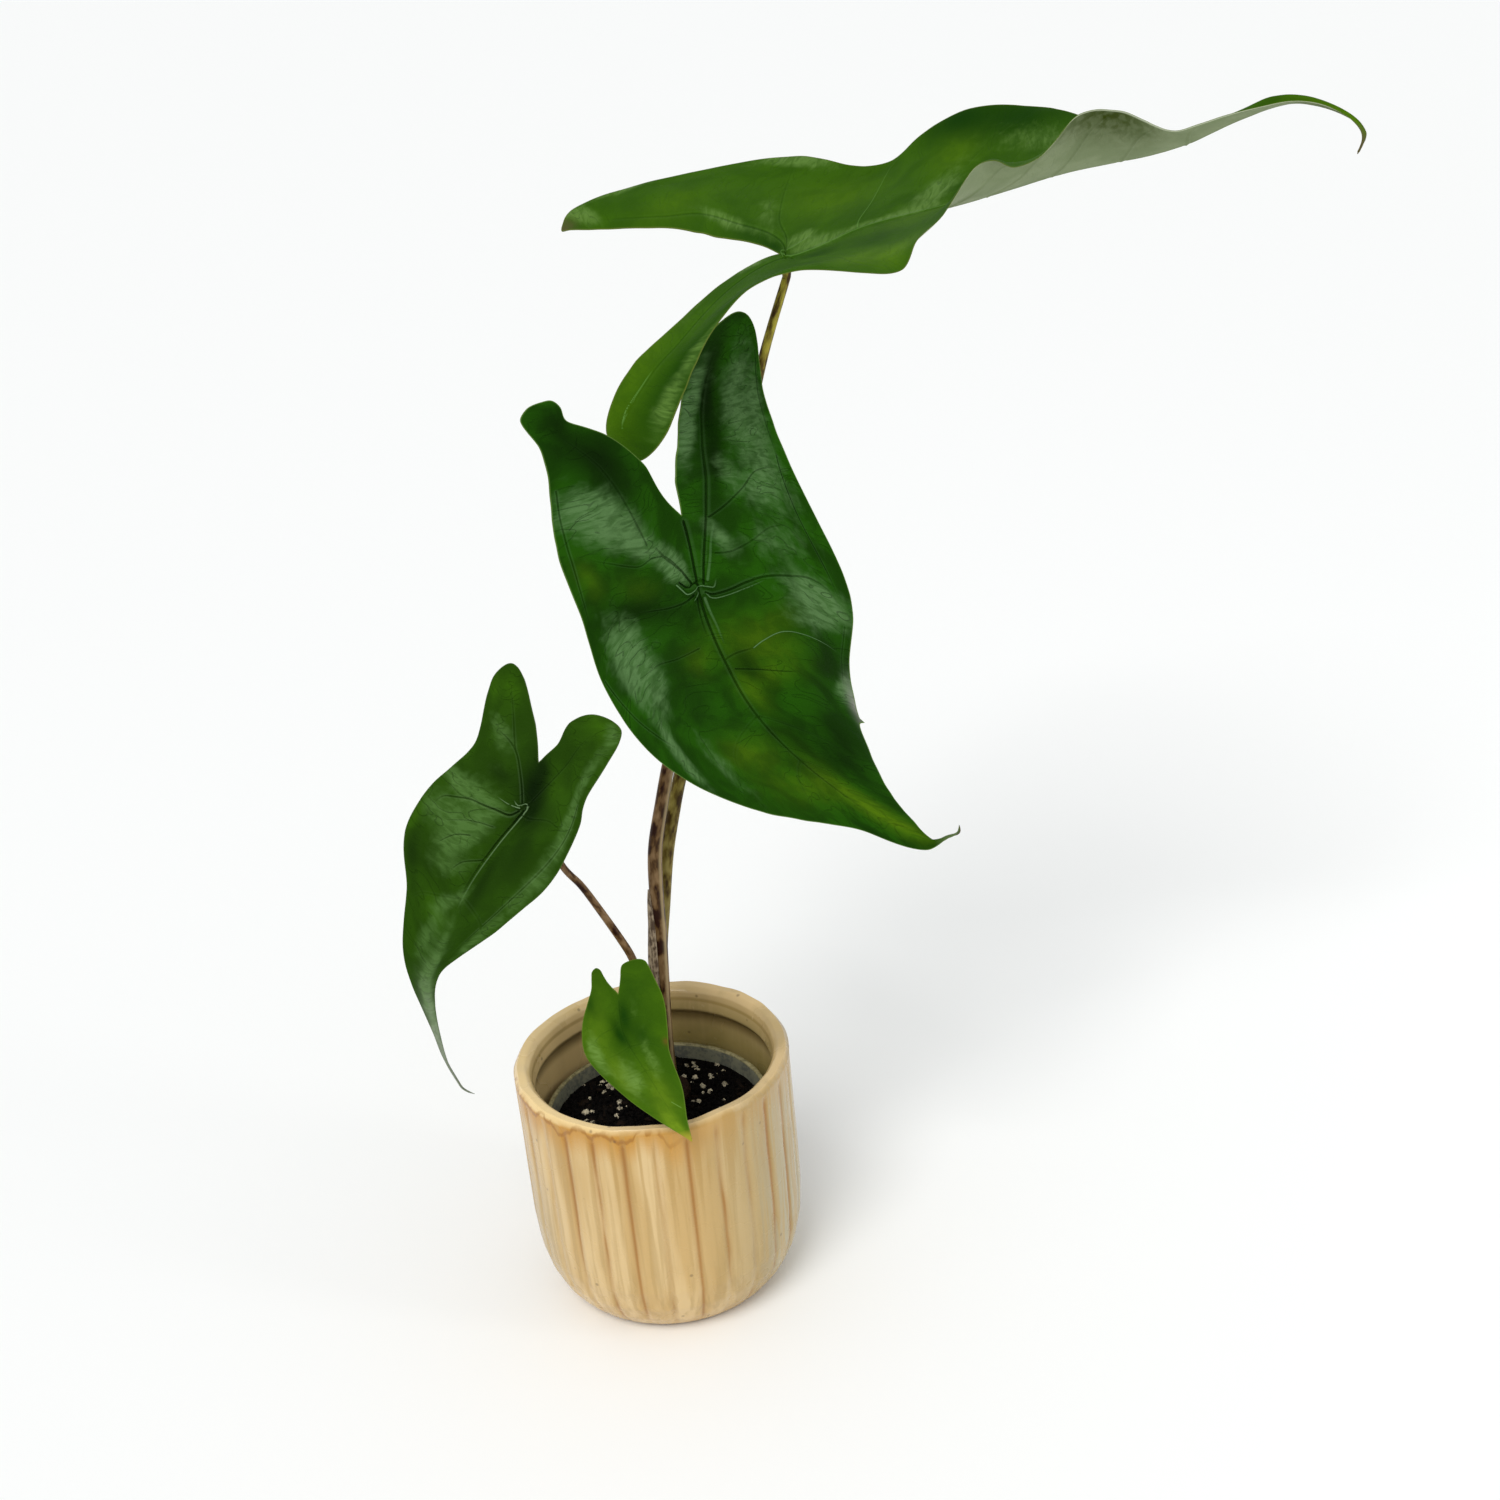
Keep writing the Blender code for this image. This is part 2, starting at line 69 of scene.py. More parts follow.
# A ramp that is not eased, and a product of two inputs with the third added to it.
EVEN = {"interpolation_type": "LINEAR"}
PLUS = {"operation": "MULTIPLY_ADD"}


# ---------------------------------------------------------------- shared helpers


def linear(code: str) -> Row:
    """The linear red, green, blue and alpha of an sRGB hex colour, such as "#C8AF7A"."""
    parts = [int(code[index : index + 2], 16) / 255 for index in (1, 3, 5)]
    return *(part / 12.92 if part <= 0.04045 else ((part + 0.055) / 1.055) ** 2.4 for part in parts), 1.0


def feed(node: Node, feeds: dict) -> None:
    """Feeds a node's inputs.

    Args:
        node: the node.
        feeds: for each input, by name or number, a constant, an output, or a node for its first output.
    """
    for name, value in feeds.items():
        if isinstance(value, Node):
            value = next(socket for socket in value.outputs if socket.enabled)
        if isinstance(value, bpy.types.NodeSocket):
            node.id_data.links.new(value, node.inputs[name])
        else:
            node.inputs[name].default_value = value


def add_node(tree: NodeTree, kind: str, feeds: dict | tuple = (), **settings: object) -> Node:
    """Adds a node, with its settings and what feeds it.

    Args:
        tree: the tree that gets the node.
        kind: the node's Blender type name.
        feeds: what feeds it, as feed takes it or in the order of INPUTS.
        settings: properties of the node itself, past those in USUAL.

    Returns:
        The new node.
    """
    made = tree.nodes.new(kind)
    for name, value in {**USUAL.get(kind, {}), **settings}.items():
        setattr(made, name, value)
    feed(made, feeds if isinstance(feeds, dict) else dict(zip(INPUTS.get(kind, range(9)), feeds)))
    return made


def new_look(name: str) -> tuple[Material, Node, Callable]:
    """Starts a material.

    Args:
        name: the material's name.

    Returns:
        The material, its Principled shader, and add_node for its tree.
    """
    made = bpy.data.materials.new(name)
    made.use_nodes = True
    return made, made.node_tree.nodes["Principled BSDF"], partial(add_node, made.node_tree)


def drawn_noise(add: Callable, place: object, size: float, scale: Row, *more: float) -> Node:
    """Noise in lumps of a size, drawn out along the axes whose scale is under 1."""
    return add(NOISE, (add(MAPPING, (place, scale)), 1 / size, *more))


def layered(add: Callable, colour: object, layers: tuple) -> Node:
    """Lays colours over one another.

    Args:
        add: add_node for the material's tree.
        colour: the lowest colour.
        layers: each is its colour and then the shares that are multiplied to give how much of it shows. A
            share is a node, a constant, or a gradual change (source, from, to, share at from, share at to).

    Returns:
        The node that gives the colour on top.
    """
    for shade, *shares in layers:
        shares = [add(RAMP, share) if isinstance(share, tuple) else share for share in shares]
        share = reduce(lambda first, second: add(MATH, (first, second)), shares)
        colour = add(MIX, (share, colour, linear(shade)))
    return colour


class Hills:
    """Smooth random hills in space, the same on each run."""

    CELLS = 32

    def __init__(self, seed: int) -> None:
        """Draws the heights from the seed."""
        self.heights = np.random.default_rng(seed).uniform(-1, 1, (self.CELLS,) * 3)

    def at(self, places: np.ndarray, size: float) -> np.ndarray:
        """How high the hills are.

        Args:
            places: points, one a row, in two or three dimensions.
            size: how far apart the hills stand, in the points' unit.

        Returns:
            A height from -1 to 1 for each point.
        """
        places = np.atleast_2d(places) / size
        if places.shape[1] == 2:
            places = np.column_stack([places, np.full(len(places), 0.37)])
        low = np.floor(places).astype(int)
        share = places - low
        share = share * share * (3 - 2 * share)
        total = np.zeros(len(places))
        for corner in np.ndindex(2, 2, 2):
            weight = np.prod(np.where(corner, share, 1 - share), axis=1)
            total += weight * self.heights[tuple((low + corner).T % self.CELLS)]
        return total


def linked(name: str, data: object) -> Object:
    """Puts a new object in the scene.

    Args:
        name: the object's name.
        data: the mesh, lamp or camera that it holds.

    Returns:
        The object.
    """
    made = bpy.data.objects.new(name, data)
    bpy.context.scene.collection.objects.link(made)
    return made


def build_mesh(
    name: str, points: np.ndarray, faces: list, looks: list[Material],
    values: dict[str, np.ndarray] | None = None, slots: list[int] | None = None, sharp: float = 80.0,
) -> Object:
    """A smooth-shaded object at the origin.

    Args:
        name: the piece's name.
        points: its points, in millimetres.
        faces: its faces, as lists of point numbers.
        looks: its materials.
        values: one number or one vector a point, for the materials to read.
        slots: each face's material number.
        sharp: edges over this angle, in degrees, stay sharp.

    Returns:
        The linked object.
    """
    mesh = bpy.data.meshes.new(name)
    mesh.from_pydata((np.asarray(points) * MM).tolist(), [], faces)
    for look in looks:
        mesh.materials.append(look)
    if slots is not None:
        mesh.polygons.foreach_set("material_index", np.array(slots, np.int32))
    for key, value in (values or {}).items():
        kind, part = ("FLOAT", "value") if value.ndim == 1 else ("FLOAT_VECTOR", "vector")
        mesh.attributes.new(key, kind, "POINT").data.foreach_set(part, value.astype(np.float32).ravel())
    mesh.shade_smooth()
    mesh.set_sharp_from_angle(angle=math.radians(sharp))
    mesh.update()
    return linked(name, mesh)


def settle(piece: Object, slot: str, *nodes: str) -> None:
    """Fixes a finished piece to the frame, and reports it.

    Args:
        piece: the finished object.
        slot: the record's material slot. It is not used.
        nodes: the solids that the piece stands for.
    """
    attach(piece, BODY)
    if nodes:
        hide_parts(*nodes)
    LOG.info("%s: %d faces", piece.name, len(piece.data.polygons))


def grid_faces(rows: int, columns: int, ring: bool) -> list:
    """Quads over a grid of points that is stored row by row.

    Args:
        rows: how many rows.
        columns: how many points a row has.
        ring: whether each row closes on itself.

    Returns:
        The faces.
    """
    grid = np.arange(rows * columns).reshape(rows, columns)
    if ring:
        grid = np.hstack([grid, grid[:, :1]])
    corners = grid[:-1, :-1], grid[:-1, 1:], grid[1:, 1:], grid[1:, :-1]
    return np.stack(corners, axis=2).reshape(-1, 4).tolist()


def capped_faces(rings: int, columns: int) -> list:
    """Faces of a ringed body whose two poles are its last two points.

    Args:
        rings: how many rings.
        columns: points in a ring.

    Returns:
        The quads, and a fan at each pole.
    """
    faces = grid_faces(rings, columns, ring=True)
    pole, last = rings * columns, (rings - 1) * columns
    for column in range(columns):
        after = (column + 1) % columns
        faces += [(pole, after, column), (pole + 1, last + column, last + after)]
    return faces


def rounded(profile: tuple[Row, ...], step: float, gap: float = 0.0) -> np.ndarray:
    """A profile with more rows and softer corners.

    Args:
        profile: rows of (radius, height), from the axis to the axis.
        step: how long a piece may be before each corner is cut twice, in millimetres.
        gap: how far apart the rows may be where the profile is straight, in millimetres.

    Returns:
        The finer rows. The first and last stay where they were.
    """
    rows = np.array(profile, float)
    path = rows[:1]
    for start, end in zip(rows[:-1], rows[1:]):
        pieces = max(1, math.ceil(np.linalg.norm(end - start) / step))
        path = np.vstack([path, start + (end - start) * np.arange(1, pieces + 1)[:, None] / pieces])
    for _ in range(2):
        cut = np.stack([path[:-1] * 0.75 + path[1:] * 0.25, path[:-1] * 0.25 + path[1:] * 0.75], axis=1)
        path = np.vstack([path[:1], cut.reshape(-1, 2)[1:-1], path[-1:]])
    kept = [path[0]]
    for place, ahead in zip(path[1:-1], path[2:]):
        chord, reach = ahead - kept[-1], place - kept[-1]
        length = np.hypot(*chord)
        if length > gap or abs(chord[0] * reach[1] - chord[1] * reach[0]) > 0.003 * length:
            kept.append(place)
    return np.vstack([kept, path[-1:]])


def turned(profile: np.ndarray, columns: int, centre: Row = (0.0, 0.0)) -> tuple[np.ndarray, list]:
    """A turned body whose profile starts and ends on its axis.

    Args:
        profile: rows of (radius, height).
        columns: points in a ring. Angles run from the front, -Y, towards +X.
        centre: where the axis stands.

    Returns:
        The points, ring by ring with the two poles last, and the faces.
    """
    angles = math.tau * np.arange(columns) / columns
    radius, height = profile[1:-1].T[:, :, None]
    rings = np.stack([
        centre[0] + radius * np.sin(angles), centre[1] - radius * np.cos(angles), height + 0 * angles
    ], axis=2)
    points = np.vstack([rings.reshape(-1, 3), [(*centre, profile[0, 1]), (*centre, profile[-1, 1])]])
    return points, capped_faces(len(rings), columns)


def new_geometry_tree(name: str, inputs: dict[str, str]) -> tuple[Callable, dict, Callable]:
    """A Geometry Nodes tree with named inputs.

    Args:
        name: the tree's name.
        inputs: each input's name and the end of its socket type.

    Returns:
        add_node for the tree, its inputs by name, and what closes the tree on its last node.
    """
    tree = bpy.data.node_groups.new(name, "GeometryNodeTree")
    for label, kind in {"Geometry": "Geometry", **inputs}.items():
        tree.interface.new_socket(label, in_out="INPUT", socket_type=f"NodeSocket{kind}")
    tree.interface.new_socket("Geometry", in_out="OUTPUT", socket_type="NodeSocketGeometry")
    given, add = add_node(tree, "NodeGroupInput").outputs, partial(add_node, tree)

    def close(last: Node) -> NodeTree:
        """Makes the instances real, gives them their material and ends the tree.

        Args:
            last: the node that holds the finished shape.

        Returns:
            The tree.
        """
        real = add("GeometryNodeRealizeInstances", (last,))
        dressed = add("GeometryNodeSetMaterial", {"Geometry": real, "Material": given["Finish"]})
        add("NodeGroupOutput", (dressed,))
        return tree

    return add, given, close


def worked(obj: Object, name: str, tree: NodeTree, inputs: dict) -> Object:
    """Runs a Geometry Nodes tree on an object and keeps the result as a plain mesh.

    Args:
        obj: the object. It is removed.
        name: the new object's name.
        tree: the tree.
        inputs: what each named input gets.

    Returns:
        The plain object.
    """
    modifier = obj.modifiers.new(name, "NODES")
    modifier.node_group = tree
    for item in tree.interface.items_tree:
        if item.in_out == "INPUT" and item.name in inputs:
            modifier[item.identifier] = inputs[item.name]
    mesh = bpy.data.meshes.new_from_object(obj.evaluated_get(bpy.context.evaluated_depsgraph_get()))
    bpy.data.objects.remove(obj, do_unlink=True)
    mesh.name = name
    return linked(name, mesh)


# ---------------------------------------------------------------- finishes


@dataclass(frozen=True)
class DripGlaze:
    """Stoneware in a runny honey glaze: it breaks cream on the ribs and pools brown in the grooves."""

    cream: str = "#D8BA84"
    sand: str = "#A8884C"
    straw: str = "#C29E5E"
    honey: str = "#B8904A"
    painted_side_shade: str = "#94804C"
    painted_reflection: str = "#B4AE92"
    amber: str = "#C0861C"
    brown: str = "#9C6614"
    lip: str = "#A08A58"
    painted_inner_shade: str = "#9A8A4C"
    shadow: str = "#5E4A20"
    painted_light: str = "#EED094"
    clay: str = "#B89A6E"
    speck: str = "#5B4326"

    def material(self) -> Material:
        """Builds the glaze.

        Returns:
            The material.
        """
        look, shader, add = new_look("honey_drip_glaze")
        place = add("ShaderNodeTexCoord").outputs["Object"]
        parts = add("ShaderNodeSeparateXYZ", (place,)).outputs
        right, height = parts["X"], parts["Z"]
        groove, inside = (add(ATTRIBUTE, attribute_name=name) for name in ("groove", "inside"))
        outside = add(MATH, (1.0, inside), operation="SUBTRACT")

        # The glaze ran down, so its streaks are long: 2 mm and 8 mm wide. The clouds are 16 mm across.
        fine, broad, cloud = (
            drawn_noise(add, place, size * MM, (1.0, 1.0, tall), 3.0)
            for size, tall in ((2.2, 0.04), (8.0, 0.10), (16.0, 1.0))
        )
        wavy = add(MATH, (broad, 0.020, height), **PLUS)
        colour = layered(add, linear(self.cream), (
            (self.straw, (broad, 0.38, 0.60, 0.0, 0.75), outside),
            (self.sand, (fine, 0.44, 0.66, 0.0, 0.45), outside),
            # Down the right side, and on the left towards the foot, the glaze is painted darker as painted
            # shade.
            (self.painted_side_shade, (right, 0.006, 0.034, 0.0, 0.55), outside),
            (self.painted_side_shade, (right, -0.030, -0.043, 0.0, 0.5), outside, (height, 0.070, 0.030, 0.0, 1.0)),
            # On the right, pale streaks are painted reflections.
            (self.painted_reflection, (right, 0.026, 0.040, 0.0, 0.65), outside, (fine, 0.44, 0.54, 0.0, 1.0)),
            # Amber pools under the lip in a ragged band, most at the front left, and thins further down.
            (self.amber, (wavy, 0.080, 0.0925, 0.0, 0.9), outside, (right, 0.028, -0.004, 0.25, 1.0)),
            (self.honey, (wavy, 0.050, 0.092, 0.0, 0.5), outside, (fine, 0.5, 0.6, 0.0, 1.0)),
            # In the grooves the glaze lies thickest below the lip, and in the odd groove all the way down.
            (self.brown, (height, 0.010, 0.076, 0.25, 0.65), groove, (broad, 0.40, 0.56, 0.3, 1.0)),
            (self.brown, (groove, 0.55, 1.0, 0.0, 0.7), (broad, 0.46, 0.54, 0.0, 1.0)),
            (self.lip, (height, 0.0805, 0.0832, 0.0, 0.6), (cloud, 0.40, 0.60, 0.1, 1.0),
             (right, -0.02, 0.03, 0.1, 1.0)),
            # On the left the lip and the wall below it inside are painted paler, as painted light.
            (self.painted_light, (right, -0.004, -0.022, 0.0, 0.9), inside, (height, 0.0600, 0.0640, 0.0, 1.0)),
            (self.painted_light, (height, 0.0818, 0.0830, 0.0, 0.85), (right, 0.0, -0.030, 0.0, 1.0),
             (cloud, 0.62, 0.45, 0.4, 1.0)),
            # At the front the glaze broke into a thin brown line round the lip's foot.
            (self.brown, (wavy, 0.0904, 0.0914, 0.0, 0.75), outside, (wavy, 0.0930, 0.0918, 0.0, 1.0),
             (right, 0.014, -0.002, 0.0, 1.0)),
            # Inside the lip, painted shade draws a soft step as a darker line.
            (self.sand, (height, 0.0806, 0.0798, 0.0, 0.6), inside, (height, 0.0786, 0.0794, 0.0, 1.0)),
            # Inside, the glaze is painted darker and greener as painted shade, more so towards the right,
            # and a painted shadow line runs under the collar.
            (self.painted_inner_shade, (height, 0.0835, 0.0765, 0.0, 0.5), inside, (fine, 0.3, 0.5, 0.7, 1.0),
             (right, -0.030, 0.002, 0.2, 1.0)),
            (self.painted_inner_shade, (height, 0.0740, 0.0640, 0.0, 0.8), inside, (cloud, 0.3, 0.6, 0.6, 1.0),
             (right, -0.030, 0.002, 0.1, 1.0)),
            (self.shadow, (height, 0.0764, 0.0746, 0.0, 0.7), inside, (height, 0.0690, 0.0732, 0.0, 1.0)),
        ))
        # Iron specks, about 1 mm across and 9 mm apart.
        spots = add("ShaderNodeTexVoronoi", {"Vector": place, "Scale": 1 / (9 * MM)})
        speck = add(RAMP, (spots, 0.085, 0.04, 0.0, 0.5), **EVEN)
        # The foot was wiped clean of glaze before firing, so it is matt clay.
        bare = add(RAMP, (height, 1.6 * MM, 0.8 * MM, 0.0, 1.0), **EVEN)
        rough = add(RAMP, (cloud, 0.3, 0.7, 0.2, 0.34), **EVEN)
        # Waves in the fired glaze, 2 mm apart.
        peel = add(NOISE, (place, 1 / (2.2 * MM), 2.0))
        feed(shader, {
            "Base Color": layered(add, colour, ((self.speck, speck), (self.clay, bare))),
            "Roughness": add(MATH, (rough, bare), operation="MAXIMUM"),
            "IOR": 1.52,
            "Normal": add(BUMP, (0.2, 0.25 * MM, peel)),
        })
        return look


class Matter(Enum):
    """The duller finishes, each with the finish's name."""

    PLASTIC = "thermoformed_polypropylene"
    PEAT = "damp_peat"
    BARK = "composted_bark"
    PERLITE = "expanded_perlite"
    CORM_SKIN = "dry_corm_skin"
    SHEATH_SKIN = "dry_sheath_skin"


@dataclass(frozen=True)
class CloudyMatter:
    """A dull stuff in two tones: smooth grey plastic, peat, bark, pitted perlite or fibrous dry skin.

    The cloud, the grain and the relief are in millimetres. Upright is how far the grain is drawn out.
    """

    kind: Matter
    dark: str
    light: str
    cloud: float
    grain: float
    relief: float
    roughness: float
    upright: float = 1.0
    shine: float = 0.4

    def material(self) -> Material:
        """Builds the finish.

        Returns:
            The material.
        """
        look, shader, add = new_look(self.kind.value)
        place = add("ShaderNodeTexCoord").outputs["Object"]
        cloud = drawn_noise(add, place, self.cloud * MM, (1.0, 1.0, 1.0), 4.0)
        # Fibres run upright, so their pattern is drawn out along Z.
        grain = drawn_noise(add, place, self.grain * MM, (1.0, 1.0, self.upright), 4.0)
        share = add(RAMP, (add(MATH, (cloud, grain), operation="ADD"), 0.86, 1.14), **EVEN)
        feed(shader, {
            "Base Color": layered(add, linear(self.dark), ((self.light, share),)),
            "Roughness": self.roughness,
            "IOR": 1.49,
            "Specular IOR Level": self.shine,
            "Normal": add(BUMP, (0.6, self.relief * MM, grain)),
        })
        return look


@dataclass(frozen=True)
class WaxyLeaf:
    """Living leaf skin with a waxy cuticle: cloudy green, veined, with painted sheen and painted shade in
    patches.
    """

    name: str
    deep: str
    green: str
    yellow: str
    painted_sheen: str
    pale: str
    rim: str
    tip: str
    roughness: float = 0.38
    wrinkle: float = 0.5
    cloudy: float = 0.3
    rim_width: float = 0.5
    scar_and_sheen: str = "#8C8276"

    def material(self) -> Material:
        """Builds one side of a leaf.

        Returns:
            The material.
        """
        look, shader, add = new_look(self.name)
        flat = add("ShaderNodeUVMap", uv_map="flat_leaf")
        marks = ("gap", "core", "flank", "edge", "yellow", "painted_sheen", "shade", "scar_and_sheen", "tip")
        gap, core, flank, edge, yellow, painted_sheen, shade, scar_and_sheen, tip = (
            add(ATTRIBUTE, attribute_name=mark).outputs["Fac"] for mark in marks
        )
        # Clouds of 13 mm, flecks of 4 mm, wrinkles across the leaf 1.7 mm apart, grain, and long creases.
        cloud, fleck, wrinkle, grain, fold = (
            drawn_noise(add, flat, size, (across, 1.0, 1.0), detail, bend)
            for size, across, detail, bend in (
                (13.0, 1.0, 4.0, 0.5), (4.0, 1.0, 3.0, 0.5), (1.7, 0.3, 5.0, 1.0), (0.8, 1.0, 2.0, 0.0),
                (7.0, 0.5, 1.5, 1.2),
            )
        )
        broken = add(RAMP, (fleck, 0.38, 0.62, 0.7, 1.0))
        # The painted sheen is silky inside, ragged at its edge, and broken up by the fine wrinkles.
        silk = add(RAMP, (add(MATH, (fleck, 0.5, painted_sheen), **PLUS), 0.38, 0.92))
        sheen = add(MATH, (silk, add(RAMP, (wrinkle, 0.36, 0.60, 0.5, 1.0))))
        # A crease runs where the folds' field crosses its middle, and only here and there. Its dark line is
        # painted shade, darkest in the painted sheen.
        off = add(MATH, (add(MATH, (fold, 0.5), operation="SUBTRACT"),), operation="ABSOLUTE")
        line = add(RAMP, (off, 0.002, 0.016, 1.0, 0.0))
        crease = add(MATH, (line, add(RAMP, (cloud, 0.47, 0.56))))
        # A vein's core and its two flanks: above 0 they are dark, and below 0 pale. Partly the veins' own
        # colour, and partly painted shade in grooves and painted highlight on ridges.
        beside = add(MATH, (add(RAMP, (gap, 0.7, 1.3)), add(RAMP, (gap, 1.6, 3.2, 1.0, 0.0))))
        vein_colour_and_shade = add(MATH, (add(RAMP, (gap, 0.3, 1.0, 1.0, 0.0)), core))
        vein_colour_and_shade = add(MATH, (beside, flank, vein_colour_and_shade), **PLUS)
        colour = layered(add, linear(self.deep), (
            (self.green, (cloud, 0.38, 0.62, 1 - self.cloudy, 1.0)),
            (self.yellow, yellow, broken),
            # Painted shade: the shade patches darken the leaf to its deep green.
            (self.deep, shade),
            (self.painted_sheen, sheen, 0.92),
            (self.deep, crease, add(MATH, (sheen, 0.25, 0.15), **PLUS)),
            (self.deep, vein_colour_and_shade),
            (self.pale, add(MATH, (vein_colour_and_shade, -1.0))),
            # Scars are the leaf's own damage; some are also greyed with a painted sheen.
            (self.scar_and_sheen, scar_and_sheen, broken),
            (self.rim, (edge, self.rim_width, 0.2 * self.rim_width, 0.0, 1.0), 0.8),
            (self.tip, tip),
        ))
        relief = wrinkle
        for part, height in ((grain, 0.4), (crease, -0.6), (vein_colour_and_shade, -0.9)):
            relief = add(MATH, (part, height, relief), **PLUS)
        # The cuticle shines where the painted sheen lies, and is duller elsewhere.
        feed(shader, {
            "Base Color": colour,
            "Roughness": add(RAMP, (sheen, 0.0, 1.0, 0.65, self.roughness)),
            "IOR": 1.45,
            "Specular IOR Level": 0.1,
            "Specular Tint": linear("#D4E8A8"),
            "Normal": add(BUMP, (self.wrinkle, 0.35 * MM, relief)),
        })
        return look


@dataclass(frozen=True)
class MottledSkin:
    """Smooth stalk skin, blotched with a darker pigment, with a pale line along one side that is a painted
    highlight.
    """

    name: str
    foot: str
    top: str
    blotch: str
    half_tone: str
    seam_highlight: str
    cover: float
    size: float = 3.0

    def material(self) -> Material:
        """Builds the stalk skin.

        Returns:
            The material.
        """
        look, shader, add = new_look(self.name)
        keys = ("skin", "rise", "seam_highlight", "bruise")
        skin, rise, seam_highlight, bruise = (add(ATTRIBUTE, attribute_name=key).outputs for key in keys)
        # Blotches about 3 mm wide and twice as long, soft at their edges.
        tall = (1.0, 1.0, 0.5)
        blot = drawn_noise(add, skin["Vector"], self.size, tall, 2.0, 0.2)
        small = drawn_noise(add, skin["Vector"], self.size / 2.6, tall, 2.0)
        for part, weight in ((small, 0.25), (bruise["Fac"], 0.35)):
            blot = add(MATH, (part, weight, blot), **PLUS)
        low = 0.80 - 0.30 * self.cover
        colour = layered(add, linear(self.foot), (
            (self.top, rise["Fac"]),
            (self.half_tone, add(RAMP, (blot, low - 0.14, low + 0.06, 0.0, 0.9), **EVEN)),
            (self.blotch, add(RAMP, (blot, low + 0.02, low + 0.16), **EVEN)),
            # A painted highlight along the seam's ridge.
            (self.seam_highlight, seam_highlight["Fac"]),
        ))
        # Strands under the skin stand out as fine ridges along the stalk.
        ridge = drawn_noise(add, skin["Vector"], 0.7, (1.0, 1.0, 0.05), 2.0)
        feed(shader, {
            "Base Color": colour,
            "Roughness": 0.42,
            "IOR": 1.45,
            "Specular IOR Level": 0.15,
            "Normal": add(BUMP, (0.3, 0.15 * MM, ridge)),
        })
        return look


# ---------------------------------------------------------------- the pot and what fills it


@dataclass
class StonewarePot:
    """The ribbed cover pot. Its profile rows are (radius, height), from the foot's centre to the floor's.

    The steps and the gap are how finely it is turned. The wall's wave is all round it, and the lip's swell
    and rise are only near the lip.
    """

    outside: tuple[Row, ...] = (
        (0.0, 0.0), (33.5, 0.0), (36.5, 2.5), (39.8, 7.0), (42.5, 13.0), (44.3, 21.0), (45.0, 32.0),
        (45.0, 79.0), (45.0, 82.4),
    )
    inside: tuple[Row, ...] = (
        (43.8, 84.0), (41.4, 83.8), (39.9, 82.2), (39.4, 79.8), (38.8, 75.6), (40.1, 73.6), (40.1, 70.0),
        (39.8, 34.0), (37.6, 18.0), (33.0, 9.0), (29.0, 6.0), (0.0, 6.0),
    )
    ribs: int = 28
    phase: float = math.radians(0.9)
    groove_depth: float = 0.5
    groove_share: float = 0.17
    columns_per_rib: int = 14
    fade_low: tuple[float, float] = (0.8, 6.0)
    fade_high: tuple[float, float] = (82.0, 78.0)
    wall_wave: float = 0.15
    lip_foot: float = 79.5
    lip_reach: float = 4.5
    lip_swell: float = 0.3
    lip_rise: float = 0.35
    wall_step: float = 2.6
    inner_step: float = 2.0
    row_gap: float = 1.4

    def build(self) -> None:
        """Turns the pot, cuts its ribs and glazes it."""
        glaze = DripGlaze().material()
        inputs = {
            "Ribs": self.ribs, "Phase": self.phase, "Depth": self.groove_depth * MM,
            "Groove Share": self.groove_share, "Finish": glaze,
        }
        pot = worked(self.turned_body(glaze), "stoneware_pot", self.rib_tree(), inputs)
        settle(pot, "glazed_stoneware", "ceramic_pot")

    def turned_body(self, glaze: Material) -> Object:
        """The pot before its ribs are cut, with its ribbed share and its inside marked.

        Args:
            glaze: the pot's finish.

        Returns:
            The turned body.
        """
        wall = rounded(self.outside, self.wall_step, self.row_gap)
        profile = np.vstack([wall, rounded(self.inside, self.inner_step, self.row_gap)])
        columns = self.ribs * self.columns_per_rib
        points, faces = turned(profile, columns)
        height = profile[1:-1, 1]
        cut = np.ones(len(height))
        for start, end in (self.fade_low, self.fade_high):
            cut = np.minimum(cut, np.clip((height - start) / (end - start), 0, 1))
        is_wall = np.arange(len(height)) < len(wall) - 1
        # The fired lip is a little uneven, because thick glaze ran back from it.
        near_lip = np.clip((points[:, 2] - self.lip_foot) / self.lip_reach, 0, 1)
        flat = points * (1, 1, 0)
        reach = np.maximum(np.hypot(points[:, 0], points[:, 1]), 1)
        swell = self.lip_swell * near_lip * Hills(6).at(flat, 7.0)
        swell += self.wall_wave * Hills(7).at(points, 16.0)
        points[:, 2] += near_lip * self.lip_rise * Hills(5).at(flat, 6.0)
        points[:, :2] *= (1 + swell * (reach > 5) / reach)[:, None]
        values = {
            "ribbed": np.append(np.repeat(cut * is_wall, columns), [0, 0]),
            "inside": np.append(np.repeat(1.0 - is_wall, columns), [0, 1]),
        }
        return build_mesh("turned_pot", points, faces, [glaze], values, sharp=50.0)

    def rib_tree(self) -> NodeTree:
        """The tree that sinks a groove between each two ribs and marks where the grooves are.

        Returns:
            The tree.
        """
        inputs = {"Ribs": "Int", **dict.fromkeys(("Phase", "Depth", "Groove Share"), "Float")}
        add, given, close = new_geometry_tree("cut_ribs", {**inputs, "Finish": "Material"})
        place = add("GeometryNodeInputPosition")
        parts = add("ShaderNodeSeparateXYZ", (place,)).outputs
        # The angle from the front towards +X is counted in ribs, so each whole number is a groove.
        turn = add(MATH, (parts["X"], add(MATH, (parts["Y"], -1.0))), operation="ARCTAN2")
        turn = add(MATH, (turn, given["Phase"]), operation="SUBTRACT")
        turn = add(MATH, (add(MATH, (turn, given["Ribs"])), math.tau), operation="DIVIDE")
        turn = add(MATH, (turn, 0.5), operation="PINGPONG")
        ribbed = add("GeometryNodeInputNamedAttribute", {"Name": "ribbed"}, data_type="FLOAT")
        groove = add(MATH, (add(RAMP, (turn, 0.0, given["Groove Share"], 1.0, 0.0)), ribbed))
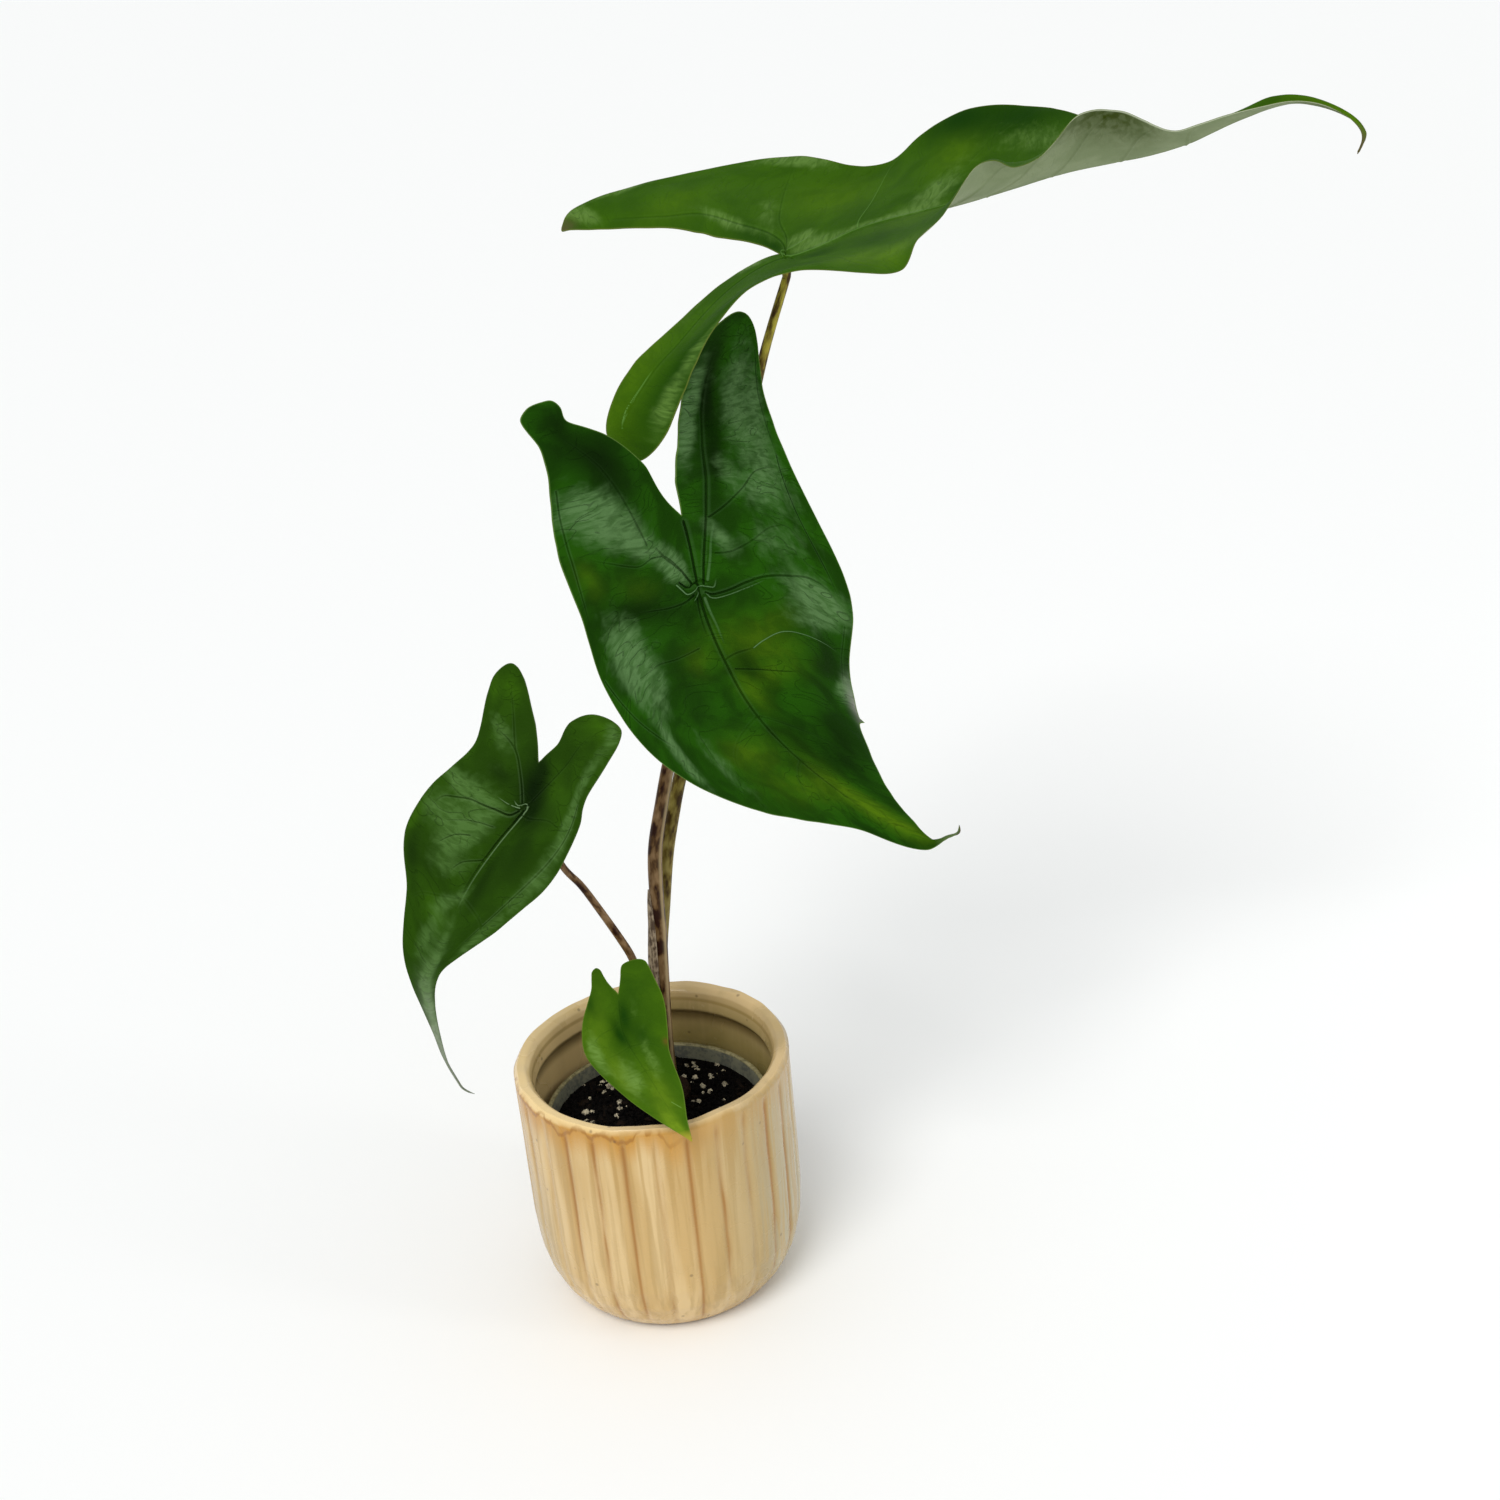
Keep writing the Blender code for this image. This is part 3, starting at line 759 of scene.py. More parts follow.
        # Each rib is a little crowned, and no groove is quite as deep all the way down.
        crown = add(MATH, (add(RAMP, (turn, 0.0, 0.5, 0.10, 0.0)), ribbed))
        uneven = add(RAMP, (add(NOISE, (place, 1 / (11 * MM), 1.0)), 0.3, 0.7, 0.6, 1.3), **EVEN)
        depth = add(MATH, (add(MATH, (uneven, groove, crown), **PLUS), given["Depth"]))
        level = add(VECTOR_MATH, (place, (-1.0, -1.0, 0.0)), operation="MULTIPLY")
        inward = add(VECTOR_MATH, (level,), operation="NORMALIZE")
        shift = add(VECTOR_MATH, {0: inward, "Scale": depth}, operation="SCALE")
        feeds = {"Geometry": given["Geometry"], "Name": "groove", "Value": groove}
        marked = add("GeometryNodeStoreNamedAttribute", feeds, data_type="FLOAT", domain="POINT")
        return close(add("GeometryNodeSetPosition", {"Geometry": marked, "Offset": shift}))


@dataclass
class GrowPot:
    """The thin plastic pot that stands inside, with a beaded rim."""

    foot: float = 27.0
    rim: float = 36.4
    wall: float = 0.8
    bottom: float = 6.3
    top: float = 63.5
    bead: float = 0.7
    painted_highlight_band: float = 0.6
    step: float = 1.4
    columns: int = 160

    def radius(self, height: float) -> float:
        """The outer radius at a height."""
        return self.foot + (self.rim - self.foot) * (height - self.bottom) / (self.top - self.bottom)

    def build(self) -> None:
        """Turns the grow pot."""
        bead_foot, floor = self.top - 2 * self.bead, self.bottom + self.wall
        rows = (
            (0.0, self.bottom), (self.foot, self.bottom), (self.radius(bead_foot), bead_foot),
            (self.rim + self.bead, bead_foot), (self.rim + self.bead, self.top),
            (self.rim - self.wall, self.top), (self.radius(floor) - self.wall, floor), (0.0, floor),
        )
        points, faces = turned(rounded(rows, self.step, self.step), self.columns)
        # The top of the bead is painted paler than the wall, as a painted highlight.
        looks = [
            CloudyMatter(Matter.PLASTIC, *tones).material()
            for tones in (
                ("#63645C", "#83836F", 7.0, 1.2, 0.05, 0.32), ("#76704E", "#A39A70", 5.0, 1.0, 0.05, 0.4)
            )
        ]
        slots = [int(points[list(face), 2].mean() > self.top - self.painted_highlight_band) for face in faces]
        pot = build_mesh("grow_pot", points, faces, looks, slots=slots, sharp=70.0)
        settle(pot, "nursery_plastic", "nursery_pot")


@dataclass(frozen=True)
class Grain:
    """A kind of grain on the mix: how many, the smallest and largest in millimetres, and how flat."""

    matter: CloudyMatter
    count: int
    small: float
    large: float
    flat: float
    seed: int


@dataclass
class PottingMix:
    """The lumpy black mix, with its crumbs, bark and perlite lying on top. A lump is (height, size)."""

    edge_height: float = 58.6
    middle_height: float = 60.2
    floor: float = 8.4
    clearance: float = 1.1
    columns: int = 150
    corm_axis: tuple[float, float] = (2.6, 11.3)
    corm_room: float = 7.4
    lumps: tuple[tuple[float, int], ...] = ((0.9, 7), (0.5, 3), (0.3, 1))
    grains: tuple[Grain, ...] = (
        Grain(CloudyMatter(Matter.PEAT, "#020101", "#0C0806", 2.0, 0.7, 0.3, 0.8, 1.0, 0.08),
              2600, 0.9, 2.2, 0.8, 11),
        Grain(CloudyMatter(Matter.BARK, "#0A0603", "#1C120A", 3.0, 0.8, 0.3, 0.8, 1.0, 0.1),
              90, 2.0, 4.6, 0.45, 12),
        Grain(CloudyMatter(Matter.PERLITE, "#6E6654", "#D8CCAE", 5.0, 0.6, 0.3, 0.8),
              130, 1.0, 2.9, 0.95, 13),
    )

    def build(self, liner: GrowPot) -> None:
        """Heaps the mix in its pot and strews it.

        Args:
            liner: the pot that holds it.
        """
        reach = liner.radius(self.edge_height) - self.clearance
        radii = np.linspace(reach, 0.0, 48)
        heights = self.edge_height + (self.middle_height - self.edge_height) * (1 - (radii / reach) ** 2)
        low = [(0.0, self.floor), (liner.radius(self.floor) - self.clearance, self.floor)]
        points, faces = turned(np.vstack([low, np.column_stack([radii, heights])]), self.columns)
        lump = sum(high * Hills(20 + size).at(points, size) for high, size in self.lumps)
        apart = reach - np.hypot(points[:, 0], points[:, 1])
        points[:, 2] += lump * np.clip(apart / 3.0, 0.25, 1) * (points[:, 2] > self.floor + 1)
        bed = build_mesh("mix_bed", points, faces, [self.grains[0].matter.material()])
        settle(bed, "potting_mix", "potting_mix")
        for grain in self.grains:
            self.strew(grain, points, faces)

    def strew(self, grain: Grain, points: np.ndarray, faces: list) -> None:
        """Strews one kind of grain over the mix.

        Args:
            grain: which kind.
            points: the bed's points.
            faces: the bed's faces.
        """
        # Nothing lies where the corm stands, against the wall or under the bed.
        apart = np.hypot(*(points[:, :2] - self.corm_axis).T)
        reach = np.hypot(points[:, 0], points[:, 1])
        room = (apart > self.corm_room + grain.large / 2) & (reach < reach.max() - grain.large * 0.6)
        room &= points[:, 2] > self.floor + 1
        look, tree = grain.matter.material(), self.grain_tree(grain.matter.kind)
        sheet = build_mesh("strewn_sheet", points, faces, [look], {"room": room.astype(float)})
        inputs = {
            "Density": grain.count / (math.pi * (reach.max() * MM) ** 2), "Smallest": grain.small * MM,
            "Largest": grain.large * MM, "Flatness": grain.flat, "Seed": grain.seed, "Finish": look,
        }
        settle(worked(sheet, grain.matter.kind.value, tree, inputs), "potting_mix")

    def grain_tree(self, kind: Matter) -> NodeTree:
        """The tree that strews grains.

        Args:
            kind: what they are.

        Returns:
            The tree.
        """
        sizes = dict.fromkeys(("Density", "Smallest", "Largest", "Flatness"), "Float")
        inputs = {**sizes, "Seed": "Int", "Finish": "Material"}
        add, given, close = new_geometry_tree(f"strew_{kind.value}", inputs)
        room = add("GeometryNodeInputNamedAttribute", {"Name": "room"}, data_type="FLOAT")
        free = add("FunctionNodeCompare", (room, 0.5), data_type="FLOAT", operation="GREATER_THAN")
        seed = {"Seed": given["Seed"]}
        feeds = {"Mesh": given["Geometry"], "Selection": free, **seed}
        if kind is Matter.PERLITE:
            # The white grains lie apart from one another.
            feeds |= {"Density Max": given["Density"], "Distance Min": 1.6 * MM}
            spots = add("GeometryNodeDistributePointsOnFaces", feeds, distribute_method="POISSON")
        else:
            feeds["Density"] = given["Density"]
            spots = add("GeometryNodeDistributePointsOnFaces", feeds)
        if kind is Matter.BARK:
            block, rough = add("GeometryNodeMeshCube", ((1.0, 0.55, 0.5), 4, 3, 2)), 0.6
        else:
            detail, rough = (3, 0.4) if kind is Matter.PERLITE else (2, 1.0)
            block = add("GeometryNodeMeshIcoSphere", (0.5, detail))
        knobs = add(NOISE, (add("GeometryNodeInputPosition"), 3.1, 1.0)).outputs["Color"]
        knobs = add(VECTOR_MATH, (knobs, (0.5, 0.5, 0.5)), operation="SUBTRACT")
        knobs = add(VECTOR_MATH, {0: knobs, "Scale": rough}, operation="SCALE")
        shape = add("GeometryNodeSetPosition", {"Geometry": block, "Offset": knobs})
        shape = add("GeometryNodeSetShadeSmooth", (shape,))
        feeds = {0: (-0.5, -0.5, 0.0), 1: (0.5, 0.5, math.tau), **seed}
        turn = add("FunctionNodeRandomValue", feeds, data_type="FLOAT_VECTOR")
        feeds = {2: given["Smallest"], 3: given["Largest"], **seed}
        size = add("FunctionNodeRandomValue", feeds, data_type="FLOAT")
        scale = add("ShaderNodeCombineXYZ", (size, size, add(MATH, (size, given["Flatness"]))))
        feeds = {"Points": spots, "Instance": shape, "Rotation": turn, "Scale": scale}
        return close(add("GeometryNodeInstanceOnPoints", feeds))


@dataclass
class Corm:
    """The short swollen stem, ringed by the scars of old leaves and wrapped in dry skin."""

    axis: tuple[float, float] = (2.6, 11.3)
    rows: tuple[Row, ...] = (
        (0.0, 45.0), (4.7, 46.5), (7.9, 51.0), (8.7, 56.5), (8.4, 60.5), (7.6, 62.5), (0.0, 62.5),
    )
    columns: int = 96
    step: float = 0.7
    scar_spacing: float = 1.9
    scar_height: float = 0.28
    knob: float = 0.35
    sink: float = 0.2

    def build(self) -> None:
        """Turns and scars the corm."""
        points, faces = turned(rounded(self.rows, self.step), self.columns, self.axis)
        out = (points - (*self.axis, 0.0)) * (1, 1, 0)
        reach = np.linalg.norm(out, axis=1)
        ring = np.abs(np.sin(math.pi * (points[:, 2] + 0.8 * Hills(31).at(points, 5.0)) / self.scar_spacing))
        lump = self.scar_height * (1 - ring) ** 3 + self.knob * Hills(32).at(points, 3.5) - self.sink
        points += out / np.maximum(reach, 0.1)[:, None] * (lump * (reach > 3))[:, None]
        skin = CloudyMatter(Matter.CORM_SKIN, "#120B06", "#33231A", 3.5, 0.8, 0.25, 0.8, 0.12, 0.1)
        corm = build_mesh("corm_skin", points, faces, [skin.material()], sharp=70.0)
        settle(corm, "papery_skin", "corm")


# ---------------------------------------------------------------- the leaves


def bell(away: np.ndarray) -> np.ndarray:
    """A bell curve: 1 in its middle, and about a third one unit away."""
    return np.exp(-(away**2))


def shorter(slope: np.ndarray, longest: float) -> np.ndarray:
    """The slope, no longer than that."""
    length = np.linalg.norm(slope)
    return slope * (longest / length) if length > longest else slope


def smooth_path(points: list[Row], step: float, closed: bool = False) -> np.ndarray:
    """A smooth curve through points. A closed one has a corner where it meets the midrib.

    Args:
        points: the places that it passes through.
        step: how far apart the new points are.
        closed: whether it comes back to its start.

    Returns:
        The finer points.
    """
    points = np.array(points, float)
    count = len(points)
    path = []
    for index in range(count if closed else count - 1):
        start, end = points[index], points[(index + 1) % count]
        chord = end - start
        reach = 1.2 * np.linalg.norm(chord)
        before = points[index - 1] if closed or index else start
        after = points[(index + 2) % count] if closed or index + 2 < count else end
        leave = shorter(chord if closed and start[0] == 0 else (end - before) / 2, reach)
        arrive = shorter(chord if closed and end[0] == 0 else (after - start) / 2, reach)
        t = np.linspace(0, 1, max(1, round(np.linalg.norm(chord) / step)), endpoint=False)[:, None]
        path.append(
            start * (2 * t**3 - 3 * t**2 + 1) + leave * (t**3 - 2 * t**2 + t)
            + end * (3 * t**2 - 2 * t**3) + arrive * (t**3 - t**2)
        )
    return np.vstack(path if closed else [*path, points[-1:]])


def run_along(path: np.ndarray) -> np.ndarray:
    """How far along a path each of its points is."""
    return np.append(0, np.cumsum(np.linalg.norm(np.diff(path, axis=0), axis=1)))


def across_path(path: np.ndarray) -> np.ndarray:
    """Unit vectors square to a flat path, one for each of its points."""
    side = np.gradient(path, axis=0)[:, ::-1] * (-1, 1)
    return side / np.maximum(np.linalg.norm(side, axis=1), 1e-9)[:, None]


def nearest_on_path(places: np.ndarray, path: np.ndarray) -> np.ndarray:
    """How far each place is from a path, and how far along the path that is.

    Args:
        places: rows of (across, along).
        path: the path's points.

    Returns:
        A row of distances, and a row of shares of the path's length, from 0 to 1.
    """
    start, edge = path[:-1], np.diff(path, axis=0)
    lengths, run = np.linalg.norm(edge, axis=1), run_along(path)
    found = []
    for part in np.array_split(places, len(places) // 2000 + 1):
        away = part[:, None] - start
        t = np.clip((away * edge).sum(2) / np.maximum(lengths**2, 1e-12), 0, 1)
        gap = np.linalg.norm(away - t[:, :, None] * edge, axis=2)
        best = gap.argmin(1)
        pick = np.arange(len(best)), best
        found.append((gap[pick], (run[best] + t[pick] * lengths[best]) / run[-1]))
    return np.hstack(found)


def inside_path(places: np.ndarray, path: np.ndarray) -> np.ndarray:
    """Whether each place is inside a closed path.

    Args:
        places: rows of (across, along).
        path: the closed path's points, without the first repeated.

    Returns:
        True or false for each place.
    """
    inside = np.zeros(len(places), bool)
    for start, end in zip(path, np.roll(path, -1, axis=0)):
        if start[1] != end[1]:
            spans = (start[1] > places[:, 1]) != (end[1] > places[:, 1])
            meets = start[0] + (places[:, 1] - start[1]) / (end[1] - start[1]) * (end[0] - start[0])
            inside ^= spans & (places[:, 0] < meets)
    return inside


class LeafShape:
    """The smooth map from the flat leaf to the bent one, which passes through the leaf's landmarks.

    It is a thin-plate spline in (across, along, |across|): the third makes the fold at the midrib.
    """

    # How round the fold at the midrib is, and how far off a normal's neighbours are.
    CREASE, NUDGE = 2.0, 0.4

    def __init__(self, rows: list[Row]) -> None:
        """Fits the map.

        Args:
            rows: the landmarks (across, along, x, y, z).
        """
        marks = np.array(rows, float)
        self.places = self.features(marks[:, :2])
        plain = np.hstack([np.ones((len(marks), 1)), self.places])
        system = np.block([[self.bend(self.places), plain], [plain.T, np.zeros((4, 4))]])
        self.weights = np.linalg.solve(system, np.vstack([marks[:, 2:], np.zeros((4, 3))]))

    def features(self, flat: np.ndarray) -> np.ndarray:
        """The spline's three coordinates of each flat point."""
        fold = np.sqrt(flat[:, 0] ** 2 + self.CREASE**2) - self.CREASE
        return np.column_stack([flat, fold])

    def bend(self, places: np.ndarray) -> np.ndarray:
        """Each landmark's pull on each place."""
        apart = np.linalg.norm(places[:, None] - self.places[None], axis=2)
        return apart**2 * np.log(np.maximum(apart, 1e-9))

    def at(self, flat: np.ndarray) -> np.ndarray:
        """Bends flat points.

        Args:
            flat: rows of (across, along).

        Returns:
            Their places (x, y, z).
        """
        places = self.features(flat)
        plain = np.hstack([np.ones((len(places), 1)), places]) @ self.weights[-4:]
        return self.bend(places) @ self.weights[:-4] + plain

    def normals(self, flat: np.ndarray) -> np.ndarray:
        """The way that the upper side faces.

        Args:
            flat: rows of (across, along).

        Returns:
            A unit normal for each.
        """
        across, along = (self.at(flat + step) - self.at(flat - step) for step in np.eye(2) * self.NUDGE)
        normal = np.cross(along, across)
        return normal / np.maximum(np.linalg.norm(normal, axis=1), 1e-9)[:, None]


class Tint(Enum):
    """What a patch of leaf does: it yellows, paints a sheen or a shade, or marks damage, some greyed with a
    painted sheen.
    """

    YELLOW = "yellow"
    BLOOM = "painted_sheen"
    SHADE = "shade"
    SCAR_AND_SHEEN = "scar_and_sheen"


@dataclass(frozen=True)
class Vein:
    """A vein on the flat leaf: a groove where its depth is positive, and a ridge where it is negative.

    Its width is half that of the line, and its end says how much of it is left at its end. Its pale and dark
    are partly its own colour and partly painted highlight and painted shade along its relief.
    """

    way: list[Row]
    width: float = 0.7
    depth: float = 0.25
    pale: float = 0.3
    dark: float = 0.4
    end: float = 0.3


@dataclass
class Leaf:
    """A leaf blade, grown from its landmarks, with its veins, puckers, tints and patches of painted sheen
    and shade.

    A margin or inner row is (across, along, x, y, z). A patch is (across, along, half width, half length,
    turn from along towards across in degrees, strength). A detail gives finer points in place of one
    margin row. Laterals are where the side veins leave the midrib. A hook is the bulge and the curl of the
    tail's end, each (x, y, z).
    """

    name: str
    node: str
    slot: str
    skin: WaxyLeaf
    margin: list[Row]
    inner: list[Row]
    veins: list[Vein]
    patches: dict[Tint, list[Row]]
    laterals: tuple[float, ...] = ()
    spacing: float = 0.9
    thick: tuple[float, float] = (0.08, 0.22)
    pucker: float = 0.45
    pucker_size: float = 8.0
    ripple: float = 0.25
    midrib_ridge: float = 0.7
    vein_ridge: float = 0.25
    tip_length: float = 6.0
    cord_length: float = 20.0
    cord: float = 0.45
    hook: tuple[Row, Row] = ((0.0, 0.0, 0.0), (0.0, 0.0, 0.0))
    hook_length: float = 6.0
    detail: dict[Row, list[Row]] = field(default_factory=dict)
    fineness: float = 0.5
    seed: int = 1

    # In millimetres: how finely the edge and the veins are drawn, how far each side of a vein its rows of
    # points lie, how close two points may be, how far inside the edge its ring lies, how far from a vein
    # the lattice stops, and how much the edge wavers.
    EDGE_STEP, VEIN_STEP = 0.8, 0.55
    BESIDE = (-1.5, -0.9, -0.4, 0.0, 0.4, 0.9, 1.5)
    CLOSEST, INSET, VEIN_ROOM, WAVER = 0.3, 0.45, 1.9, 0.22
    # How high a groove's shoulders are for its depth, how many widths out they stand, and how strongly a
    # vein's flanks are drawn.
    SHOULDER, SHOULDER_AT, FLANK = 0.25, 1.7, 0.22

    def __post_init__(self) -> None:
        """Fits the leaf's shape and draws its edge and all its veins."""
        self.shape = LeafShape(self.margin + self.inner)
        marks = [place for row in self.margin for place in self.detail.get(row[:2], [row[:2]])]
        outline = smooth_path(marks, self.EDGE_STEP, closed=True)
        self.tip_along = max(row[1] for row in self.margin)
        # The tail stays as wide as its cord almost to its end.
        left = self.tip_along - outline[:, 1]
        least = self.cord * np.sqrt(np.clip(left / 1.2, 0, 1)) * (left < self.cord_length)
        outline[:, 0] = np.sign(outline[:, 0]) * np.maximum(np.abs(outline[:, 0]), least)
        # The edge wavers a little, but not where the leaf is a thin tail.
        wide = np.clip((left - self.cord_length) / 20, 0, 1)
        waver = self.WAVER * wide * Hills(self.seed + 7).at(outline, 5.0)
        self.outline = outline + across_path(outline) * waver[:, None]
        self.closed = np.vstack([self.outline, self.outline[:1]])
        veins = [*self.veins, *self.grown_laterals()]
        self.lines = [(vein, smooth_path(vein.way, self.VEIN_STEP)) for vein in veins]

    def grown_laterals(self) -> list[Vein]:
        """Side veins by the leaf's own rule: each leaves the midrib and bends towards the tip.

        Returns:
            The veins, a left and a right one for each start.
        """
        grown = []
        for start in self.laterals:
            run = 0.18 * (self.tip_along - start)
            for side in (-1, 1):
                edge = self.outline[(self.outline[:, 0] * side > 0) & (self.outline[:, 1] > start - 12)]
                edge = edge[np.argsort(edge[:, 1])]
                reach = side * np.interp(start + run, edge[:, 1], np.abs(edge[:, 0]))
                shares = ((0.02, 0.0), (0.35, 0.22), (0.70, 0.55), (0.90, 1.0))
                way = [(reach * share, start + run * rise) for share, rise in shares]
                grown.append(Vein(way, 0.6, 0.14, 0.12, 0.15))
        return grown

    def within(self, places: np.ndarray, away: float) -> np.ndarray:
        """Those of the flat places that are inside the leaf and further from its edge than that."""
        places = places[inside_path(places, self.outline)]
        return places[nearest_on_path(places, self.closed)[0] > away]

    def flat_mesh(self) -> tuple[np.ndarray, list]:
        """The flat leaf: a ring inside its edge, rows that follow its veins, and a lattice between them.

        Returns:
            The points, with those of the edge first, and the triangles.
        """
        low, high = self.outline.min(0), self.outline.max(0)
        rows = np.arange(low[1], high[1], self.spacing * 0.87)
        columns = np.arange(-math.ceil(-low[0] / self.spacing), high[0] / self.spacing + 1)
        lattice = np.array([
            ((column + (row % 2) / 2) * self.spacing, along)
            for row, along in enumerate(rows) for column in columns
        ])
        lattice = lattice[inside_path(lattice, self.outline)]
        near_vein = np.min([nearest_on_path(lattice, line)[0] for _, line in self.lines], axis=0)
        beside = np.vstack([
            line + across_path(line) * away for _, line in self.lines for away in self.BESIDE
        ])
        beside = beside[np.unique(np.round(beside / self.CLOSEST), axis=0, return_index=True)[1]]
        inset = across_path(self.outline) * self.INSET
        ring = np.vstack([self.outline - inset, self.outline + inset])
        free = np.vstack([lattice[near_vein > self.VEIN_ROOM], beside])
        loose = self.within(free, self.INSET + 0.45 * self.spacing)
        points = [Vector(place) for place in np.vstack([self.outline, self.within(ring, 0.4), loose])]
        flat, _, faces, *_ = delaunay_2d_cdt(points, [], [list(range(len(self.outline)))], 1, 1e-5)
        return np.array([tuple(point) for point in flat]), faces

    def build(self, under: Material) -> None:
        """Grows the blade.

        Args:
            under: the underside's finish.
        """
        flat, faces = self.flat_mesh()
        edge = nearest_on_path(flat, self.closed)[0]
        height, values = self.relief(flat, edge)
        middle, normal = self.shape.at(flat) + self.hooked(flat), self.shape.normals(flat)
        # The tip is rolled into a cord, so it is thicker than the rest.
        left = self.tip_along - flat[:, 1]
        cord = 0.8 * self.cord * np.clip(1 - left / self.cord_length, 0, 1) * np.clip(left / 1.5, 0.3, 1)
        half = np.maximum(np.interp(edge, (0, 2), self.thick), cord)
        # The ridge under the midrib fades out towards the tip, and in the notch.
        fade = np.clip(left / (0.7 * self.tip_along), 0, 1)
        fade *= np.clip((flat[:, 1] - self.margin[0][1]) / 4, 0, 1)
        ridge = self.midrib_ridge * fade * bell(flat[:, 0] / 1.1)
        ridge += self.vein_ridge * bell(values["gap"]) * np.clip(edge / 3, 0, 1)
        top = middle + normal * (half + height)[:, None]
        low = middle + normal * (height - half - ridge)[:, None]
        values |= {"edge": edge, "tip": np.clip(1.6 * (1 - left / self.tip_length), 0, 1)}
        values |= {tint.value: self.tinted(flat, tint) for tint in Tint}
        values = {key: np.tile(value, 2) for key, value in values.items()}
        # Seen from the upper side, the flat leaf's triangles run clockwise, so that side is reversed.
        faces, rim, count = np.array(faces), np.arange(len(self.outline)), len(flat)
        wall = np.stack([rim, np.roll(rim, -1), np.roll(rim, -1) + count, rim + count], axis=1)
        slots = [0] * (len(faces) + len(rim)) + [1] * len(faces)
        faces = faces[:, ::-1].tolist() + wall.tolist() + (faces + count).tolist()
        looks = [self.skin.material(), under]
        leaf = build_mesh(self.name, np.vstack([top, low]), faces, looks, values, slots)
        # The flat leaf, in millimetres, is the blade's UV map.
        layer = leaf.data.uv_layers.new(name="flat_leaf")
        corners = np.empty(len(leaf.data.loops), np.int32)
        leaf.data.loops.foreach_get("vertex_index", corners)
        layer.uv.foreach_set("vector", np.tile(flat, (2, 1))[corners].astype(np.float32).ravel())
        settle(leaf, self.slot, self.node)

    def relief(self, flat: np.ndarray, edge: np.ndarray) -> tuple[np.ndarray, dict[str, np.ndarray]]:
        """The leaf's fine relief and its vein lines.

        Args:
            flat: the flat leaf's points.
            edge: each point's distance from the leaf's edge.

        Returns:
            Each point's height off the smooth shape in millimetres. Then, for the nearest vein, how many
            half widths away it is, and how dark its core and its flanks are (pale where below 0), which is
            partly painted shade and painted highlight.
        """
        height, core, flank = np.zeros((3, len(flat)))
        gap, nearest = np.full((2, len(flat)), 9.0)
        for vein, line in self.lines:
            distance, share = nearest_on_path(flat, line)
            fade = 1 + (vein.end - 1) * share
            width = vein.width * (0.6 + 0.4 * fade)
            shoulder = self.SHOULDER * bell((distance - self.SHOULDER_AT * width) / width)
            height += vein.depth * fade * (shoulder - bell(distance / width))
            drawn = distance / (self.fineness * width)
            first = drawn < gap
            gap[first] = drawn[first]
            inside, outside = (vein.dark, -vein.pale) if vein.depth > 0 else (-vein.pale, vein.dark)
            # A line thins out at its end, and its flanks are faint.
            shown = fade * np.clip((1 - share) * 5, 0, 1)
            core[first], flank[first] = (inside * shown)[first], (self.FLANK * outside * shown)[first]
            nearest = np.minimum(nearest, distance)
        hills = Hills(self.seed)
        swell = hills.at(flat, self.pucker_size) + 0.4 * hills.at(flat + 50.0, self.pucker_size * 0.45)
        # The blade puckers between its veins and waves along its edge, and the tail is smooth.
        height += self.pucker * swell * np.clip(nearest / 3.0, 0.25, 1)
        wave = self.ripple * np.exp(-edge / 4.0) * hills.at(flat + 90.0, 7.0)
        thin = np.clip((self.tip_along - flat[:, 1]) / 30, 0, 1)
        shown = np.clip(edge / 1.2, 0, 1)
        relief = (height * np.clip(edge / 2.5, 0.15, 1) + wave) * thin
        return relief, {"gap": gap, "core": core * shown, "flank": flank * shown}

    def hooked(self, flat: np.ndarray) -> np.ndarray:
        """How far the end of the tail is bent away: a bulge on the way, and a curl at its very end.

        Args:
            flat: rows of (across, along).

        Returns:
            A shift (x, y, z) for each.
        """
        bulge, curl = np.array(self.hook)
        share = np.clip(1 - (self.tip_along - flat[:, 1]) / self.hook_length, 0, 1)[:, None]
        return bulge * np.sin(math.pi * share) * share + curl * share**2

    def tinted(self, flat: np.ndarray, tint: Tint) -> np.ndarray:
        """How strong a tint is at each point, from 0 to 1.

        Args:
            flat: the flat leaf's points.
            tint: which tint.

        Returns:
            A share for each point.
        """
        rest = np.ones(len(flat))
        for across, along, wide, long, turn, strength in self.patches.get(tint, []):
            forward = np.array([math.sin(math.radians(turn)), math.cos(math.radians(turn))])
            run, side = np.array([forward, forward[::-1] * (1, -1)]) @ (flat - (across, along)).T
            rest *= 1 - strength * np.exp(-((run / long) ** 2) - (side / wide) ** 2)
        return 1 - rest

    def joint(self) -> tuple[np.ndarray, np.ndarray]:
        """Where the stalk meets the blade, and the upper side's normal there."""
        place = np.zeros((1, 2))
        return self.shape.at(place)[0], self.shape.normals(place)[0]


